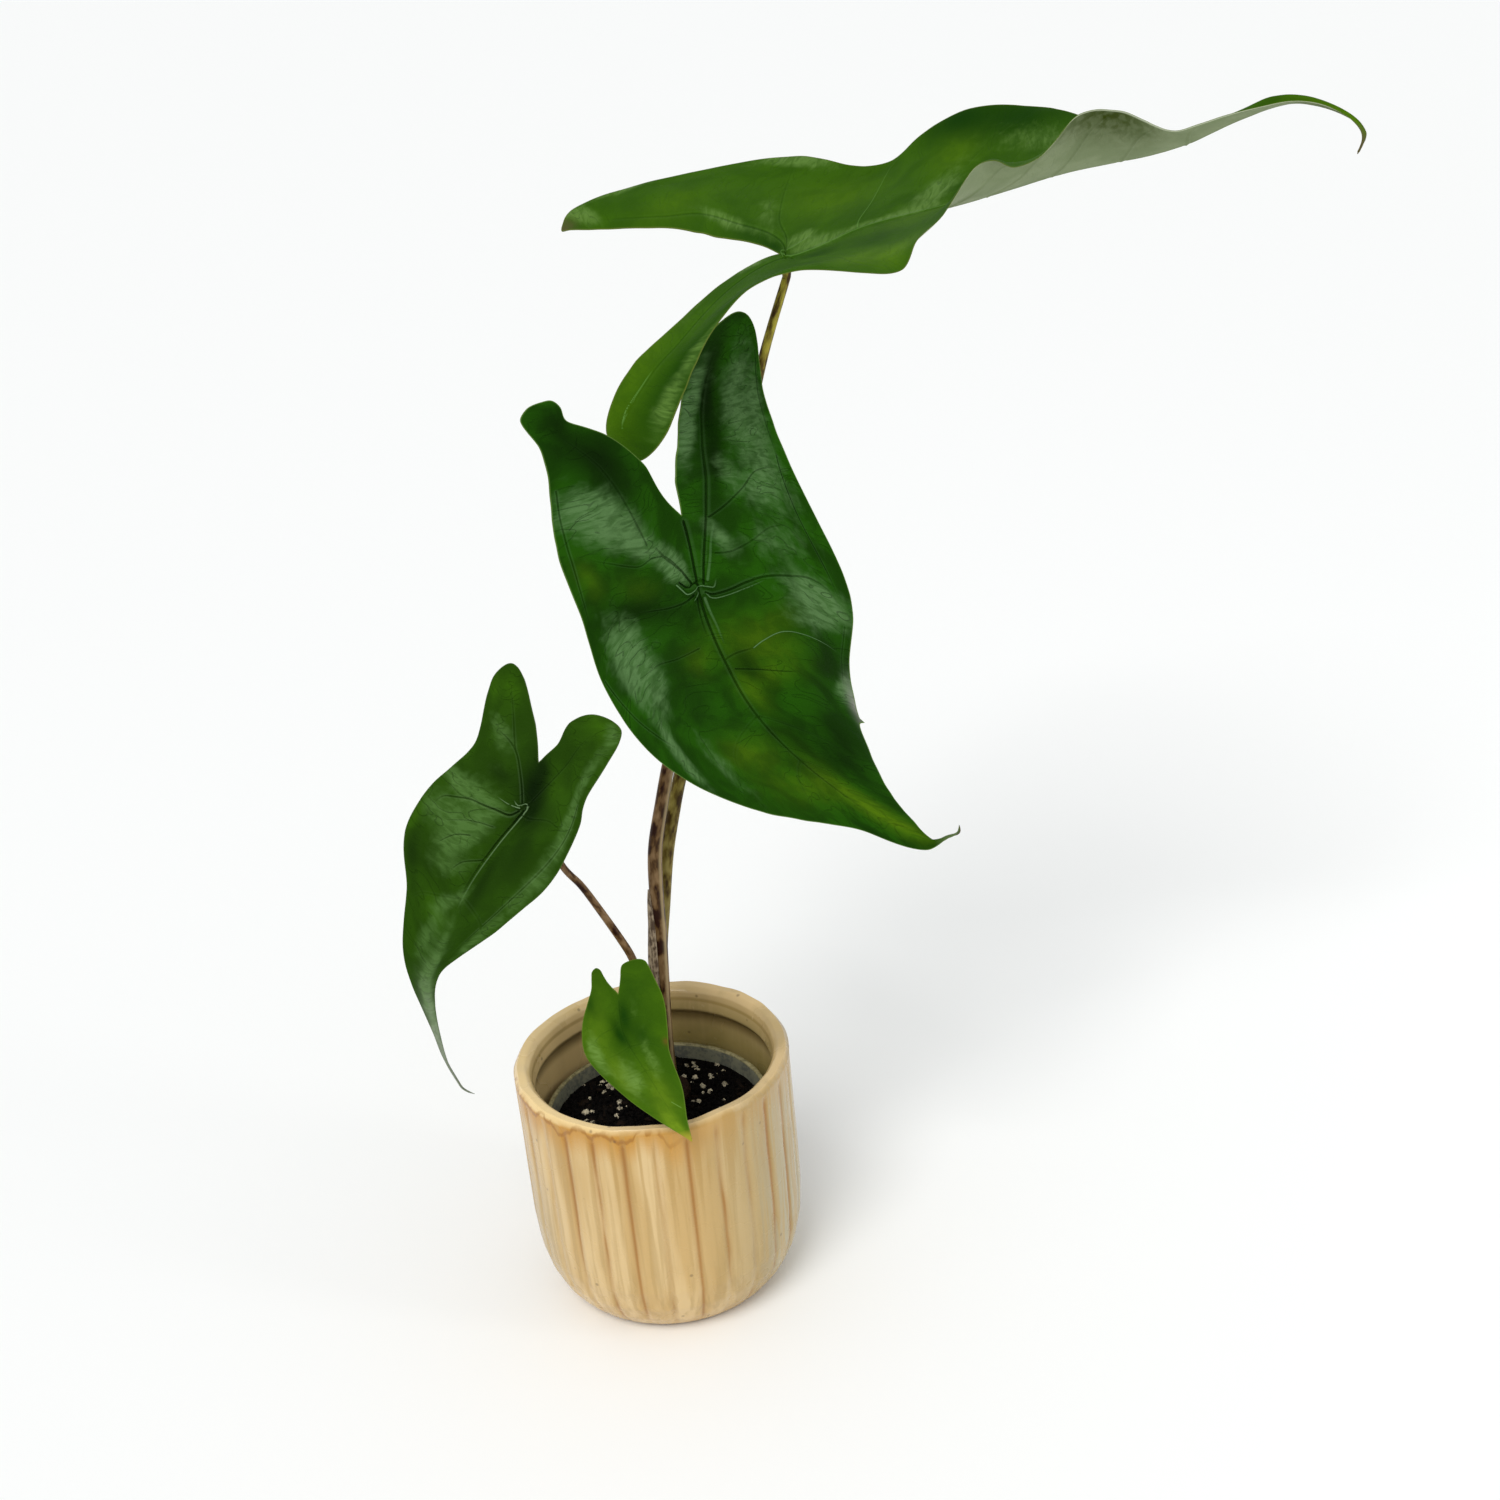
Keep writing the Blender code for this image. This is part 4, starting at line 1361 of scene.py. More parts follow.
HIGH_LEAF = Leaf(
    name="leaf_top", node="blade_top", slot="green_leaf",
    skin=WaxyLeaf(
        "waxy_mid_green", "#0F3501", "#325803", "#4D7205", "#5A7C34", "#5E8A3C", "#5C6A2A", "#56502E",
        wrinkle=0.45, scar_and_sheen="#5B4A38",
    ),
    margin=[
        (0, -6, 63, 44, 328), (8, -20, 52, 54, 331), (16, -46, 34, 66, 334), (28, -84, -2, 86, 334),
        (36, -78, 1, 90, 339), (46, -48, 35, 92, 346), (50, -18, 72, 90, 349), (46, 4, 89, 87, 345),
        (45, 20, 102, 90, 345), (46, 34, 112, 96, 351), (48, 50, 128, 101, 357), (46, 68, 146, 105, 356),
        (38, 90, 160, 106, 353), (24, 120, 185, 98, 344), (10, 144, 210, 91, 350), (7, 158, 221, 89, 354),
        (5, 172, 233, 88, 353), (3, 188, 249, 89, 344), (0, 202, 249, 90, 334), (-3, 188, 247, 88, 344),
        (-4, 172, 232, 84, 352), (-6, 158, 218, 80, 353), (-8, 146, 201, 76, 351), (-13, 134, 188, 71, 349),
        (-22, 122, 179, 66, 352), (-32, 108, 167, 59, 358), (-38, 94, 154, 51, 359),
        (-40, 84, 147, 47, 354), (-40, 76, 141, 44, 349), (-40, 68, 133, 42, 347), (-39, 58, 127, 38, 350),
        (-37, 50, 120, 33, 349), (-37, 40, 109, 20, 339), (-42, 30, 100, 8, 335), (-46, 20, 95, 0, 329),
        (-44, 8, 85, 4, 328), (-34, -8, 67, 16, 328), (-27, -32, 48, 19, 320), (-34, -58, 33, 16, 299),
        (-37, -76, 25, 17, 284), (-34, -88, 15, 23, 275), (-26, -82, 7, 28, 283), (-16, -60, 18, 32, 303),
        (-7, -32, 39, 37, 318),
    ],
    inner=[
        (0, 0, 65, 42, 327), (0, 26, 88, 50, 332), (0, 54, 119, 62, 335), (0, 88, 155, 73, 340),
        (0, 124, 191, 82, 343), (0, 150, 215, 86, 350), (0, 172, 233, 87, 351), (0, 190, 251, 90, 341),
        (24, 12, 87, 70, 337), (26, 60, 133, 88, 346), (-22, 12, 85, 24, 330), (-20, 64, 133, 54, 342),
        (24, -40, 38, 76, 340), (-20, -40, 34, 24, 309),
    ],
    veins=[
        Vein([(0, -5), (0, 20), (0, 60), (0, 110), (0, 160), (0, 195)], 1.1, -0.35, 0.55, 0.25),
        Vein([(1, -1), (4, -3), (10, -12), (15, -24), (19, -36), (21, -50), (27, -72)], 0.9, 0.3, 0.4, 0.5),
        Vein([(1, -1), (7, -3), (14, -8), (24, -11), (36, -14), (44, -16)], 0.7, 0.22, 0.35, 0.4),
        Vein([(1, 25), (6, 24), (15, 23), (27, 21), (39, 21), (43, 24)], 0.6, -0.15, 0.5, 0.2, 0.6),
        Vein([(-1, -1), (-5, -10), (-12, -28), (-21, -52), (-28, -78)], 0.9, 0.3, 0.35, 0.5),
        Vein([(-28, -78), (-26, -73), (-24, -64), (-22, -57)], 0.5, -0.12, 0.8, 0.1, 0.6),
        Vein([(-1, 2), (-10, 5), (-22, 6), (-34, 8), (-42, 14)], 0.8, 0.25, 0.3, 0.4),
        Vein([(-2, -4), (1, -5), (3, 0), (6, 6)], 0.8, -0.4, 0.5, 0.5, 0.8),
    ],
    patches={
        Tint.YELLOW: [
            (-36, 22, 7, 9, 0, 1.0), (-17, -58, 5, 20, 24, 0.5), (-24, -80, 5, 8, 0, 0.6),
            (30, 48, 8, 10, 90, 0.7), (26, 6, 10, 15, 0, 0.5), (-30, 11, 7, 8, 50, 0.8),
            (25, -46, 6, 12, 17, 0.4), (0, 186, 8, 20, 0, 0.9), (-10, 40, 10, 14, 0, 0.4),
            (-31, 103, 12, 26, 31, 1.0),
        ],
        Tint.BLOOM: [
            (48, -16, 5, 15, -6, 0.7), (32, -77, 4, 8, -45, 0.8), (41, -63, 3, 10, 21, 0.5),
            (-9, -35, 3, 7, 20, 0.3), (-33, -67, 3, 12, 12, 0.6), (-29, -46, 3, 11, 12, 0.5),
            (10, 45, 7, 13, 67, 0.6), (3, 11, 4, 14, -7, 0.6), (16, -27, 2.5, 13, -26, 0.6),
            (-3, -16, 3, 7, 14, 0.5), (7, 4, 4, 5, 20, 0.6), (2.3, 36, 2, 15, 0, 0.5),
            (18, -13, 4, 12, -69, 0.35), (24, 80, 10, 26, -20, 0.4),
        ],
        Tint.SHADE: [
            (45, 48, 8, 12, -10, 1.0), (8, -15, 3, 9, -31, 0.6), (3, -8, 3, 6, -14, 0.8),
            (-30, -56, 5, 25, 12, 0.85), (-15, 24, 6, 8, 32, 0.4), (-6, 8, 4, 8, 0, 0.5),
            (34, 100, 6, 20, -25, 0.5), (10, 66, 3, 24, 0, 0.4), (40, 68, 12, 22, -12, 0.9),
        ],
        Tint.SCAR_AND_SHEEN: [(28, -85, 4, 5, 0, 0.8)],
    },
    laterals=(44, 62, 82, 104, 126), spacing=0.86, pucker=0.28, tip_length=16.0,
    detail={(28, -84): [(26.4, -81.6), (27.4, -85.4), (29.6, -84.6)]},
    seed=41,
)

MIDDLE_LEAF = Leaf(
    name="leaf_middle", node="blade_middle", slot="dark_leaf",
    skin=WaxyLeaf(
        "waxy_deep_green", "#041B00", "#1C4A03", "#4E7008", "#547646", "#5A7E50", "#5E7A38", "#5C6E44",
        wrinkle=0.9, scar_and_sheen="#8E8E86", cloudy=0.55,
    ),
    margin=[
        (0, -24, 27, 14, 260), (5, -38, 26, 17, 270), (11, -54, 28, 21, 281), (21, -78, 34, 31, 301),
        (27, -88, 42, 36, 310), (36, -92, 50, 40, 313), (45, -84, 54, 41, 306), (49, -62, 55, 35, 288),
        (50, -36, 63, 30, 262), (51, -8, 76, 23, 227), (47.5, 16, 74, 16, 208), (39.5, 42, 76, 10, 188),
        (30, 62, 81, 6, 172), (14, 90, 90, 4, 157), (4, 108, 98, 2, 150), (0, 122, 104, -3, 157),
        (-5, 106, 94, 1, 148), (-20, 84, 73, -3, 159), (-38, 54, 40, -10, 173), (-44, 30, 14, -15, 194),
        (-44.5, 8, 0, -13, 219), (-43, -8, -4, -9, 238), (-42, -26, -9, -5, 256), (-42, -46, -10, 2, 270),
        (-40, -66, -12, 7, 287), (-37, -76, -16, 9, 294), (-29, -82, -9, 11, 298), (-22, -70, -3, 12, 292),
        (-16, -58, 7, 13, 287), (-9, -42, 18, 14, 276),
    ],
    inner=[
        (0, 0, 30, 11, 237), (0, 30, 37, 3, 214), (0, 60, 52, 0, 188), (0, 90, 76, 1, 163),
        (12, -34, 36, 25, 267), (24, -64, 38, 36, 287), (-16, -24, 18, 10, 251), (-28, -54, 3, 10, 279),
        (26, 8, 57, 11, 227), (24, 44, 64, 4, 196), (-24, 10, 12, -7, 230), (-22, 46, 28, -9, 195),
    ],
    veins=[
        Vein([(0, -22), (0, -8), (0, 10), (0, 30), (0, 50), (0, 70), (0, 100)], 1.1, 0.6, 0.5, 1.0, 0.2),
        Vein([(2, -2), (4, -12), (7, -22), (11, -33), (18, -53), (22, -65), (28, -82)],
             0.9, 0.5, 0.6, 0.9, 0.3),
        Vein([(8, -22), (14, -25), (21, -30), (30, -37), (38, -39), (43, -39)], 0.6, 0.3, 0.3, 0.7, 0.5),
        Vein([(7, -11), (12, -11), (19, -14), (27, -19), (36, -22)], 0.6, 0.22, 0.25, 0.5, 0.4),
        Vein([(45, -43), (43, -36), (42, -29), (42, -24), (43, -18), (46, -6)], 0.5, 0.2, 0.5, 0.6, 0.8),
        Vein([(45, -78), (46, -64), (46, -52), (45, -43)], 0.5, 0.15, 0.3, 0.4, 0.8),
        Vein([(-2, -3), (-6, -10), (-11, -17), (-15, -24), (-18, -26)], 0.9, 0.45, 0.5, 0.9, 0.4),
        Vein([(-6, -10), (-12, -19), (-17, -22), (-22, -20), (-30, -22), (-35, -24)],
             0.6, 0.28, 0.5, 0.7, 0.4),
        Vein([(-40, -50), (-40, -41), (-39, -29), (-39, -20), (-41, -6)], 0.5, 0.2, 0.5, 0.5, 0.8),
        Vein([(-38, -35), (-35, -38), (-30, -39)], 0.5, 0.15, 0.2, 0.5),
        Vein([(-18, -26), (-22, -38), (-27, -54), (-31, -70)], 0.7, 0.2, 0.15, 0.5),
        Vein([(2, 1), (4, 2), (9, 1), (14, -1), (20, -3), (29, -5), (37, -7), (43, -6), (46, -2)],
             0.8, 0.5, 0.6, 0.8, 0.4),
        Vein([(11, 22), (15, 19), (22, 15), (30, 14), (38, 14), (43, 15)], 0.5, -0.2, 0.9, 0.3, 0.7),
        Vein([(1, 26), (5, 24), (11, 22)], 0.6, 0.2, 0.15, 0.5, 0.8),
        Vein([(2, 30), (9, 30), (17, 30), (24, 29)], 0.5, 0.3, 0.1, 0.8, 0.6),
        Vein([(-2, 1), (-6, 2), (-12, 2), (-18, 1), (-23, 0)], 0.7, 0.35, 0.3, 0.8, 0.3),
        Vein([(-6, 20), (-14, 21), (-21, 20), (-26, 20)], 0.5, 0.2, 0.25, 0.5, 0.6),
        Vein([(-43, 8), (-41, 16), (-39, 23), (-34, 36)], 0.5, 0.2, 0.5, 0.4, 0.8),
        Vein([(47, 4), (45, 14), (41, 28)], 0.5, 0.15, 0.35, 0.3, 0.8),
        # The blade is gathered into folds where it meets the stalk. Their pale and dark lines are painted
        # highlight and painted shade.
        Vein([(-9, -6), (-7, -3), (-5, -0.5), (-2, -0.5), (0.5, -1.5), (2.5, -1), (4.6, -0.5), (5.6, -3)],
             0.7, -0.7, 1.0, 0.9, 0.8),
        Vein([(0, 0), (-1, 1.6), (-3, 3)], 0.6, -0.5, 0.9, 0.9, 0.8),
        Vein([(-7, -6), (-4, -2.6), (-1, -2.8), (1.5, -3)], 0.7, 0.6, 0.3, 1.0, 0.8),
        Vein([(2, 1), (3, 3), (5, 3.4), (10, 2.2), (16, 0), (20, -2)], 0.7, -0.3, 0.8, 0.4, 0.3),
        Vein([(1.2, 3), (1.6, 8), (2.2, 14), (2.2, 21)], 1.3, -0.3, 0.45, 0.4, 0.2),
        Vein([(3.2, -3), (5, -9.3), (6.4, -15), (9, -21)], 1.2, -0.25, 0.4, 0.4, 0.4),
        Vein([(-1, 2.5), (-1.6, 7.6), (-2, 13), (-2, 18)], 0.8, 0.3, 0.2, 0.8, 0.2),
    ],
    patches={
        Tint.SHADE: [
            (-25, -54, 9, 18, 26, 1.0), (24, -68, 3.5, 20, -14, 1.0), (17, -42, 3, 16, -25, 0.8),
            (-28, -70, 5, 10, -24, 0.7), (-25, -1, 7, 18, 67, 0.75), (7, 29, 4, 9, 0, 0.5),
            (23, 55, 7, 18, -27, 0.7), (-15, 33, 6, 11, -16, 0.5), (48, 16, 4, 10, -24, 0.5),
            (36, 21, 6, 12, -32, 0.6), (8, 57, 8, 12, -59, 0.45), (-10, 3, 4, 8, 70, 0.5),
        ],
        Tint.BLOOM: [
            (-31, -37, 8, 14, 42, 0.8), (-30, 12, 8, 16, 10, 0.75), (38, -2, 6, 12, 85, 0.75),
            (38, -48, 9, 24, 8, 0.5), (-9, -13, 4, 12, 32, 0.75), (27, -15, 6, 13, -78, 0.35),
            (15, -58, 3, 20, -22, 0.6), (30, -32, 9, 12, 0, 0.3), (35, -66, 6, 20, -16, 0.5),
            (19, -38, 4, 8, -10, 0.4), (-36, 36, 3, 9, -29, 0.7), (-26, 50, 5, 12, -40, 0.35),
            (42, 28, 4, 9, -41, 0.6), (18, -64, 2, 15, -27, 0.5), (35, 6, 6, 12, -79, 0.5),
            (44, -62, 4, 12, -3, 0.5), (9, -16, 3, 8, 28, 0.5), (-20, -27, 4, 8, 40, 0.5),
            (24, -30, 5, 10, -60, 0.3), (-24, 24, 5, 8, -20, 0.3),
        ],
        Tint.YELLOW: [
            (13, 20, 8, 14, 88, 0.45), (-8, 24, 4, 5, -16, 0.35), (-9, 72, 6, 16, 54, 0.45),
            (4, 92, 6, 22, 0, 1.0), (-22, -10, 5, 7, 47, 0.2), (-13, 55, 5, 9, 68, 0.5),
            (-36, -17, 3, 6, 12, 0.35), (14, 31, 4, 8, -63, 0.35), (22, 10, 4, 10, -60, 0.2),
            (4, 38, 4, 6, 0, 0.6),
        ],
        # A torn spot at the edge, greyed with a painted sheen.
        Tint.SCAR_AND_SHEEN: [(42.5, 33, 2.4, 8, -14, 0.85)],
    },
    laterals=(48, 66), spacing=0.75, pucker=0.5, tip_length=13.0, cord=0.6,
    hook=((1.8, 0.0, -2.2), (-0.6, 0.0, 0.8)), hook_length=9.0,
    detail={
        (39.5, 42): [(41.2, 38.4), (42.2, 39.6), (39.4, 41.4)],
        (-37, -76): [(-38.4, -73), (-36.4, -77.5)],
        (-29, -82): [(-33.2, -81.6), (-29, -82.8), (-25.4, -81.2), (-22.4, -76.5)],
    },
    seed=42,
)

LEFT_LEAF = Leaf(
    name="leaf_left", node="blade_left", slot="green_leaf",
    skin=WaxyLeaf(
        "waxy_leaf_green", "#021500", "#254605", "#3A6408", "#4A6C32", "#7C9A6C", "#435828", "#7E8674",
        wrinkle=0.8, scar_and_sheen="#A4AE98",
    ),
    margin=[
        (0, -14, -22, -12, 196), (7, -23, -16, -12, 201), (14, -34, -11, -12, 208), (23, -40, -3, -13, 210),
        (30, -34, 4, -17, 206), (31, -20, -1, -20, 197), (30, -11, -8, -22, 188), (28.5, 0, -11, -24, 180),
        (24, 20, -22, -28, 163), (16, 42, -41, -30, 149), (6, 60, -58, -31, 138), (2.5, 78, -61, -32, 123),
        (1.2, 94, -60, -31, 106), (0, 108, -57, -27, 91), (-1.2, 94, -61, -31, 107),
        (-3, 78, -64, -32, 123), (-10, 60, -69, -26, 143), (-20, 42, -66, -18, 162),
        (-27, 24, -65, -11, 177), (-30, 6, -55, -7, 190), (-28, -14, -41, -5, 201), (-27, -32, -36, 0, 214),
        (-24, -44, -32, 1, 221), (-17, -49, -27, 1, 223), (-10, -42, -24, 0, 218), (-4, -26, -22, -6, 206),
    ],
    inner=[
        (0, 0, -28, -16, 183), (0, 25, -46, -20, 162), (0, 52, -60, -27, 139), (13, -16, -13, -14, 195),
        (-13, -22, -31, -6, 203), (14, 14, -27, -25, 174), (-14, 14, -50, -14, 177),
    ],
    veins=[
        Vein([(2.4, -0.4), (1, 8), (0.5, 18), (-0.4, 34)], 1.2, -0.5, 0.6, 0.5, 0.15),
        Vein([(0.4, 0.6), (-0.6, 8), (-0.8, 18), (-1.2, 32)], 0.9, 0.5, 0.1, 1.0, 0.3),
        Vein([(2.4, -0.4), (0.4, -1.6), (-2, -0.6), (-4, -1.6)], 0.5, -0.5, 0.8, 0.9, 0.5),
        Vein([(-1, 1), (-3, 3), (-7, 3), (-11, 3), (-16, 3), (-21, 5), (-24, 7), (-25, 11)],
             0.7, 0.5, 0.5, 0.9, 0.4),
        Vein([(-1, 0), (-5, 0), (-9, -1)], 0.5, -0.4, 0.8, 0.6, 0.2),
        Vein([(-9, 13), (-13, 15), (-16, 20)], 0.5, 0.3, 0.2, 0.6, 0.5),
        Vein([(-1, 18), (-6, 21), (-8, 25)], 0.5, 0.25, 0.3, 0.6, 0.5),
        Vein([(-5, 8), (-12, 9), (-19, 13)], 0.4, 0.2, 0.4, 0.4, 0.5),
        Vein([(-1, -1), (-5, -9), (-9, -17), (-14, -22), (-21, -23)], 0.6, 0.3, 0.4, 0.6, 0.4),
        Vein([(-9, -17), (-12, -28), (-16, -40)], 0.6, 0.18, 0.2, 0.4),
        Vein([(1, -1), (8, -10), (16, -22), (23, -32)], 0.6, 0.22, 0.1, 0.4),
        Vein([(26, -6), (24, 6), (20, 18), (13, 36), (6, 50)], 0.5, 0.15, 0.5, 0.3, 0.7),
        Vein([(1, 2), (8, 4), (17, 4), (24, 6)], 0.6, 0.2, 0.1, 0.4),
    ],
    patches={
        Tint.SHADE: [
            (1, -6, 6, 8, 20, 1.0), (2, -12, 4, 7, 20, 0.8), (5, 1, 4, 7, 35, 0.8), (11, 14, 5, 10, 4, 0.4),
            (-14, 29, 4, 7, 44, 0.3), (-11, -8, 3, 6, 62, 0.5), (-22, 28, 3, 12, 20, 0.5),
            (4, 24, 3, 12, 4, 0.5),
        ],
        Tint.BLOOM: [
            (-22, 0, 3, 13, 83, 0.7), (-11, 13, 4, 9, -22, 0.7), (-23, 11, 5, 8, 79, 0.5),
            (-14, 9, 9, 17, 12, 0.4), (-9, 24, 4, 8, -59, 0.3), (-16, -22, 5, 9, 47, 0.5),
            (23, 5, 3, 14, -5, 0.5), (25.5, -15, 3, 13, -8, 0.5), (19, 24, 3, 12, -12, 0.5),
            (12, 44, 2.6, 12, -20, 0.5), (28, -31, 2.4, 8, 10, 0.5), (-6, 46, 3, 10, -4, 0.5),
            (0, 64, 3, 24, 1, 0.9), (-4, 33, 2, 9, -42, 0.5),
        ],
        Tint.YELLOW: [
            (-16, -39, 4, 7, 55, 0.5), (25, -34, 4, 11, 27, 0.5), (11, -7, 4, 8, 65, 0.3),
            (-7, 38, 3, 5, 57, 0.6), (-27, 18, 2, 8, 10, 0.6), (-24, -38, 3, 7, 10, 0.5),
        ],
        # The pale grey mark down the tail is painted sheen.
        Tint.SCAR_AND_SHEEN: [(0, 96, 4, 26, 0, 0.7)],
    },
    laterals=(30,), spacing=0.72, pucker=0.38, pucker_size=6.5, tip_length=30.0,
    hook=((0.0, 0.0, 0.0), (2.6, 0.0, 0.6)), hook_length=4.5, seed=43,
)

FRONT_LEAF = Leaf(
    name="leaf_front", node="blade_front", slot="green_leaf",
    skin=WaxyLeaf(
        "waxy_young_green", "#0E3602", "#3C6008", "#6E8C1A", "#6A8C3E", "#6E9440", "#5A7424", "#9A9430",
        roughness=0.45, wrinkle=0.3, scar_and_sheen="#6A4A20",
    ),
    margin=[
        (0, -8, -7, -14, 115), (3, -13, -6, -11, 119), (5.5, -19, -5, -8, 122), (10, -21, 0, -7, 123),
        (14, -17, 3, -9, 122), (17, -4, 7, -18, 115), (17, 8, 8, -28, 109), (16, 16, 8, -34, 106),
        (12, 28, 11, -42, 98), (5, 40, 12, -50, 91), (0, 49, 13, -55, 86), (-6, 40, 4, -48, 89),
        (-14, 28, -7, -38, 93), (-19, 14, -18, -26, 100), (-18, 0, -19, -18, 108),
        (-13, -12, -15, -10, 115), (-10, -20, -13, -7, 120), (-5, -14, -10, -9, 117),
    ],
    inner=[
        (0, 0, -7, -19, 108), (0, 20, 0, -34, 99), (9, 8, 1, -27, 109), (-9, 8, -11, -26, 104),
    ],
    veins=[
        Vein([(0, -6), (0, 4), (0, 18), (0, 32), (0, 44)], 0.7, 0.18, 0.1, 0.35),
        Vein([(-1, 0), (-5, 2), (-11, 4), (-16, 9)], 0.5, 0.1, 0.1, 0.2),
        Vein([(1, 0), (5, 1), (10, 3), (15, 8)], 0.5, 0.1, 0.1, 0.2),
        Vein([(3, 33), (6, 36)], 0.4, -0.1, 1.3, 0.0, 0.9),
    ],
    patches={
        Tint.SHADE: [
            (2, -1, 3, 6, 9, 0.9), (7, 9, 4, 6, 21, 0.6), (-2, 5, 3, 6, 22, 0.9), (6, -8, 5, 7, 20, 0.5),
            (-15, -7, 2, 5, 23, 0.6),
        ],
        Tint.BLOOM: [
            (6, 18, 4, 9, -12, 0.4), (7, -2, 3, 8, 6, 0.2), (-15, 12, 3, 9, 0, 0.6),
            (-7, 22, 5, 9, -10, 0.5),
        ],
        Tint.YELLOW: [
            (-2, 43, 3, 8, 4, 1.0), (-13, 4, 5, 10, -11, 0.25), (1, 29, 5, 9, -10, 0.45),
            (-10, 20, 4, 8, 0, 0.5),
        ],
        Tint.SCAR_AND_SHEEN: [(16, 13, 1.2, 1.6, 0, 0.9)],
    },
    laterals=(10, 20), spacing=0.7, pucker=0.22, pucker_size=6.0, tip_length=5.0, cord_length=8.0,
    cord=0.35,
    detail={
        (-13, -12): [(-14, -12)],
        (-10, -20): [(-13.6, -16.8), (-13.2, -19.8), (-11, -21.4), (-8.8, -20), (-7.4, -16.8)],
        (-5, -14): [(-5.5, -13.5)],
    },
    seed=44,
)


# ---------------------------------------------------------------- the stalks and the sheath


@dataclass
class LeafStalk:
    """A leaf's stalk, from the corm's crown to the underside of its blade.

    A seam is the angle of its ridge, which carries a painted highlight. A bruise is (its distance along the
    stalk, its half length).
    """

    leaf: Leaf
    slot: str
    foot_radius: float
    neck_radius: float
    route: list[Row]
    crown_height: float = 62.5
    neck: float = 5.0
    sides: int = 28
    seam_highlight: float | None = None
    seam_height: float = 0.25
    seam_width: float = 0.22
    flare: float = 0.35
    uneven: float = 0.035
    bruises: tuple[tuple[float, float], ...] = ()

    def centre_line(self) -> np.ndarray:
        """The stalk's middle.

        Returns:
            Its points, from just inside the crown to the blade.
        """
        joint, normal = self.leaf.joint()
        top = joint - normal * 1.1
        path = smooth_path([*self.route, tuple(top - normal * self.neck)], 1.0)
        foot = [(*path[0, :2], self.crown_height + rise) for rise in (-1.2, 1.2)]
        return np.vstack([foot, path, [top, joint - normal * 0.5]])

    def radius(self, share: np.ndarray) -> np.ndarray:
        """The stalk's radius: it tapers at its foot, hardly in its lower half, then more and more."""
        taper = 0.2 * np.minimum(1.0, share / 0.15) + 0.8 * share**2
        return self.foot_radius + (self.neck_radius - self.foot_radius) * taper

    def build(self, skin: Material) -> None:
        """Sweeps the stalk along its route.

        Args:
            skin: its finish.
        """
        path = self.centre_line()
        run = run_along(path)
        angles = math.tau * np.arange(self.sides) / self.sides
        spokes = np.column_stack([np.cos(angles), np.sin(angles)])
        seam_highlight = np.zeros(self.sides) if self.seam_highlight is None else bell((angles - self.seam_highlight) / self.seam_width)
        hills = Hills(int(self.foot_radius * 10) + len(self.route))
        side = np.array([1.0, 0.0, 0.0])
        points, skins = [], []
        for place, along, length in zip(path, np.gradient(path, axis=0), run):
            forward = along / np.linalg.norm(along)
            side = side - forward * side.dot(forward)
            side /= np.linalg.norm(side)
            # The stalk is faintly fluted, and it widens just where it joins the blade.
            flare = 1 + self.flare * bell((run[-1] - length) / 2.0)
            flutes = np.column_stack([spokes, np.full(self.sides, length / 20)])
            uneven = 1 + self.uneven * hills.at(flutes, 0.9)
            reach = self.radius(length / run[-1]) * flare * uneven + self.seam_height * seam_highlight
            points.append(place + spokes @ np.array([side, np.cross(forward, side)]) * reach[:, None])
            skins.append(np.column_stack([spokes * self.foot_radius, np.full(self.sides, length)]))
        dark = np.max([0 * run, *(bell((run - place) / long) for place, long in self.bruises)], axis=0)
        values = {
            "skin": np.vstack([*skins, [(0, 0, 0), (0, 0, run[-1])]]),
            "rise": np.append(np.repeat(run / run[-1], self.sides), [0, 1]),
            "seam_highlight": np.append(np.tile(seam_highlight, len(path)), [0, 0]),
            "bruise": np.append(np.repeat(dark, self.sides), [0, 0]),
        }
        points = np.vstack([*points, path[:1], path[-1:]])
        name = self.leaf.node.replace("blade", "stalk")
        stalk = build_mesh(name, points, capped_faces(len(path), self.sides), [skin], values)
        settle(stalk, self.slot, self.leaf.node.replace("blade", "petiole"))


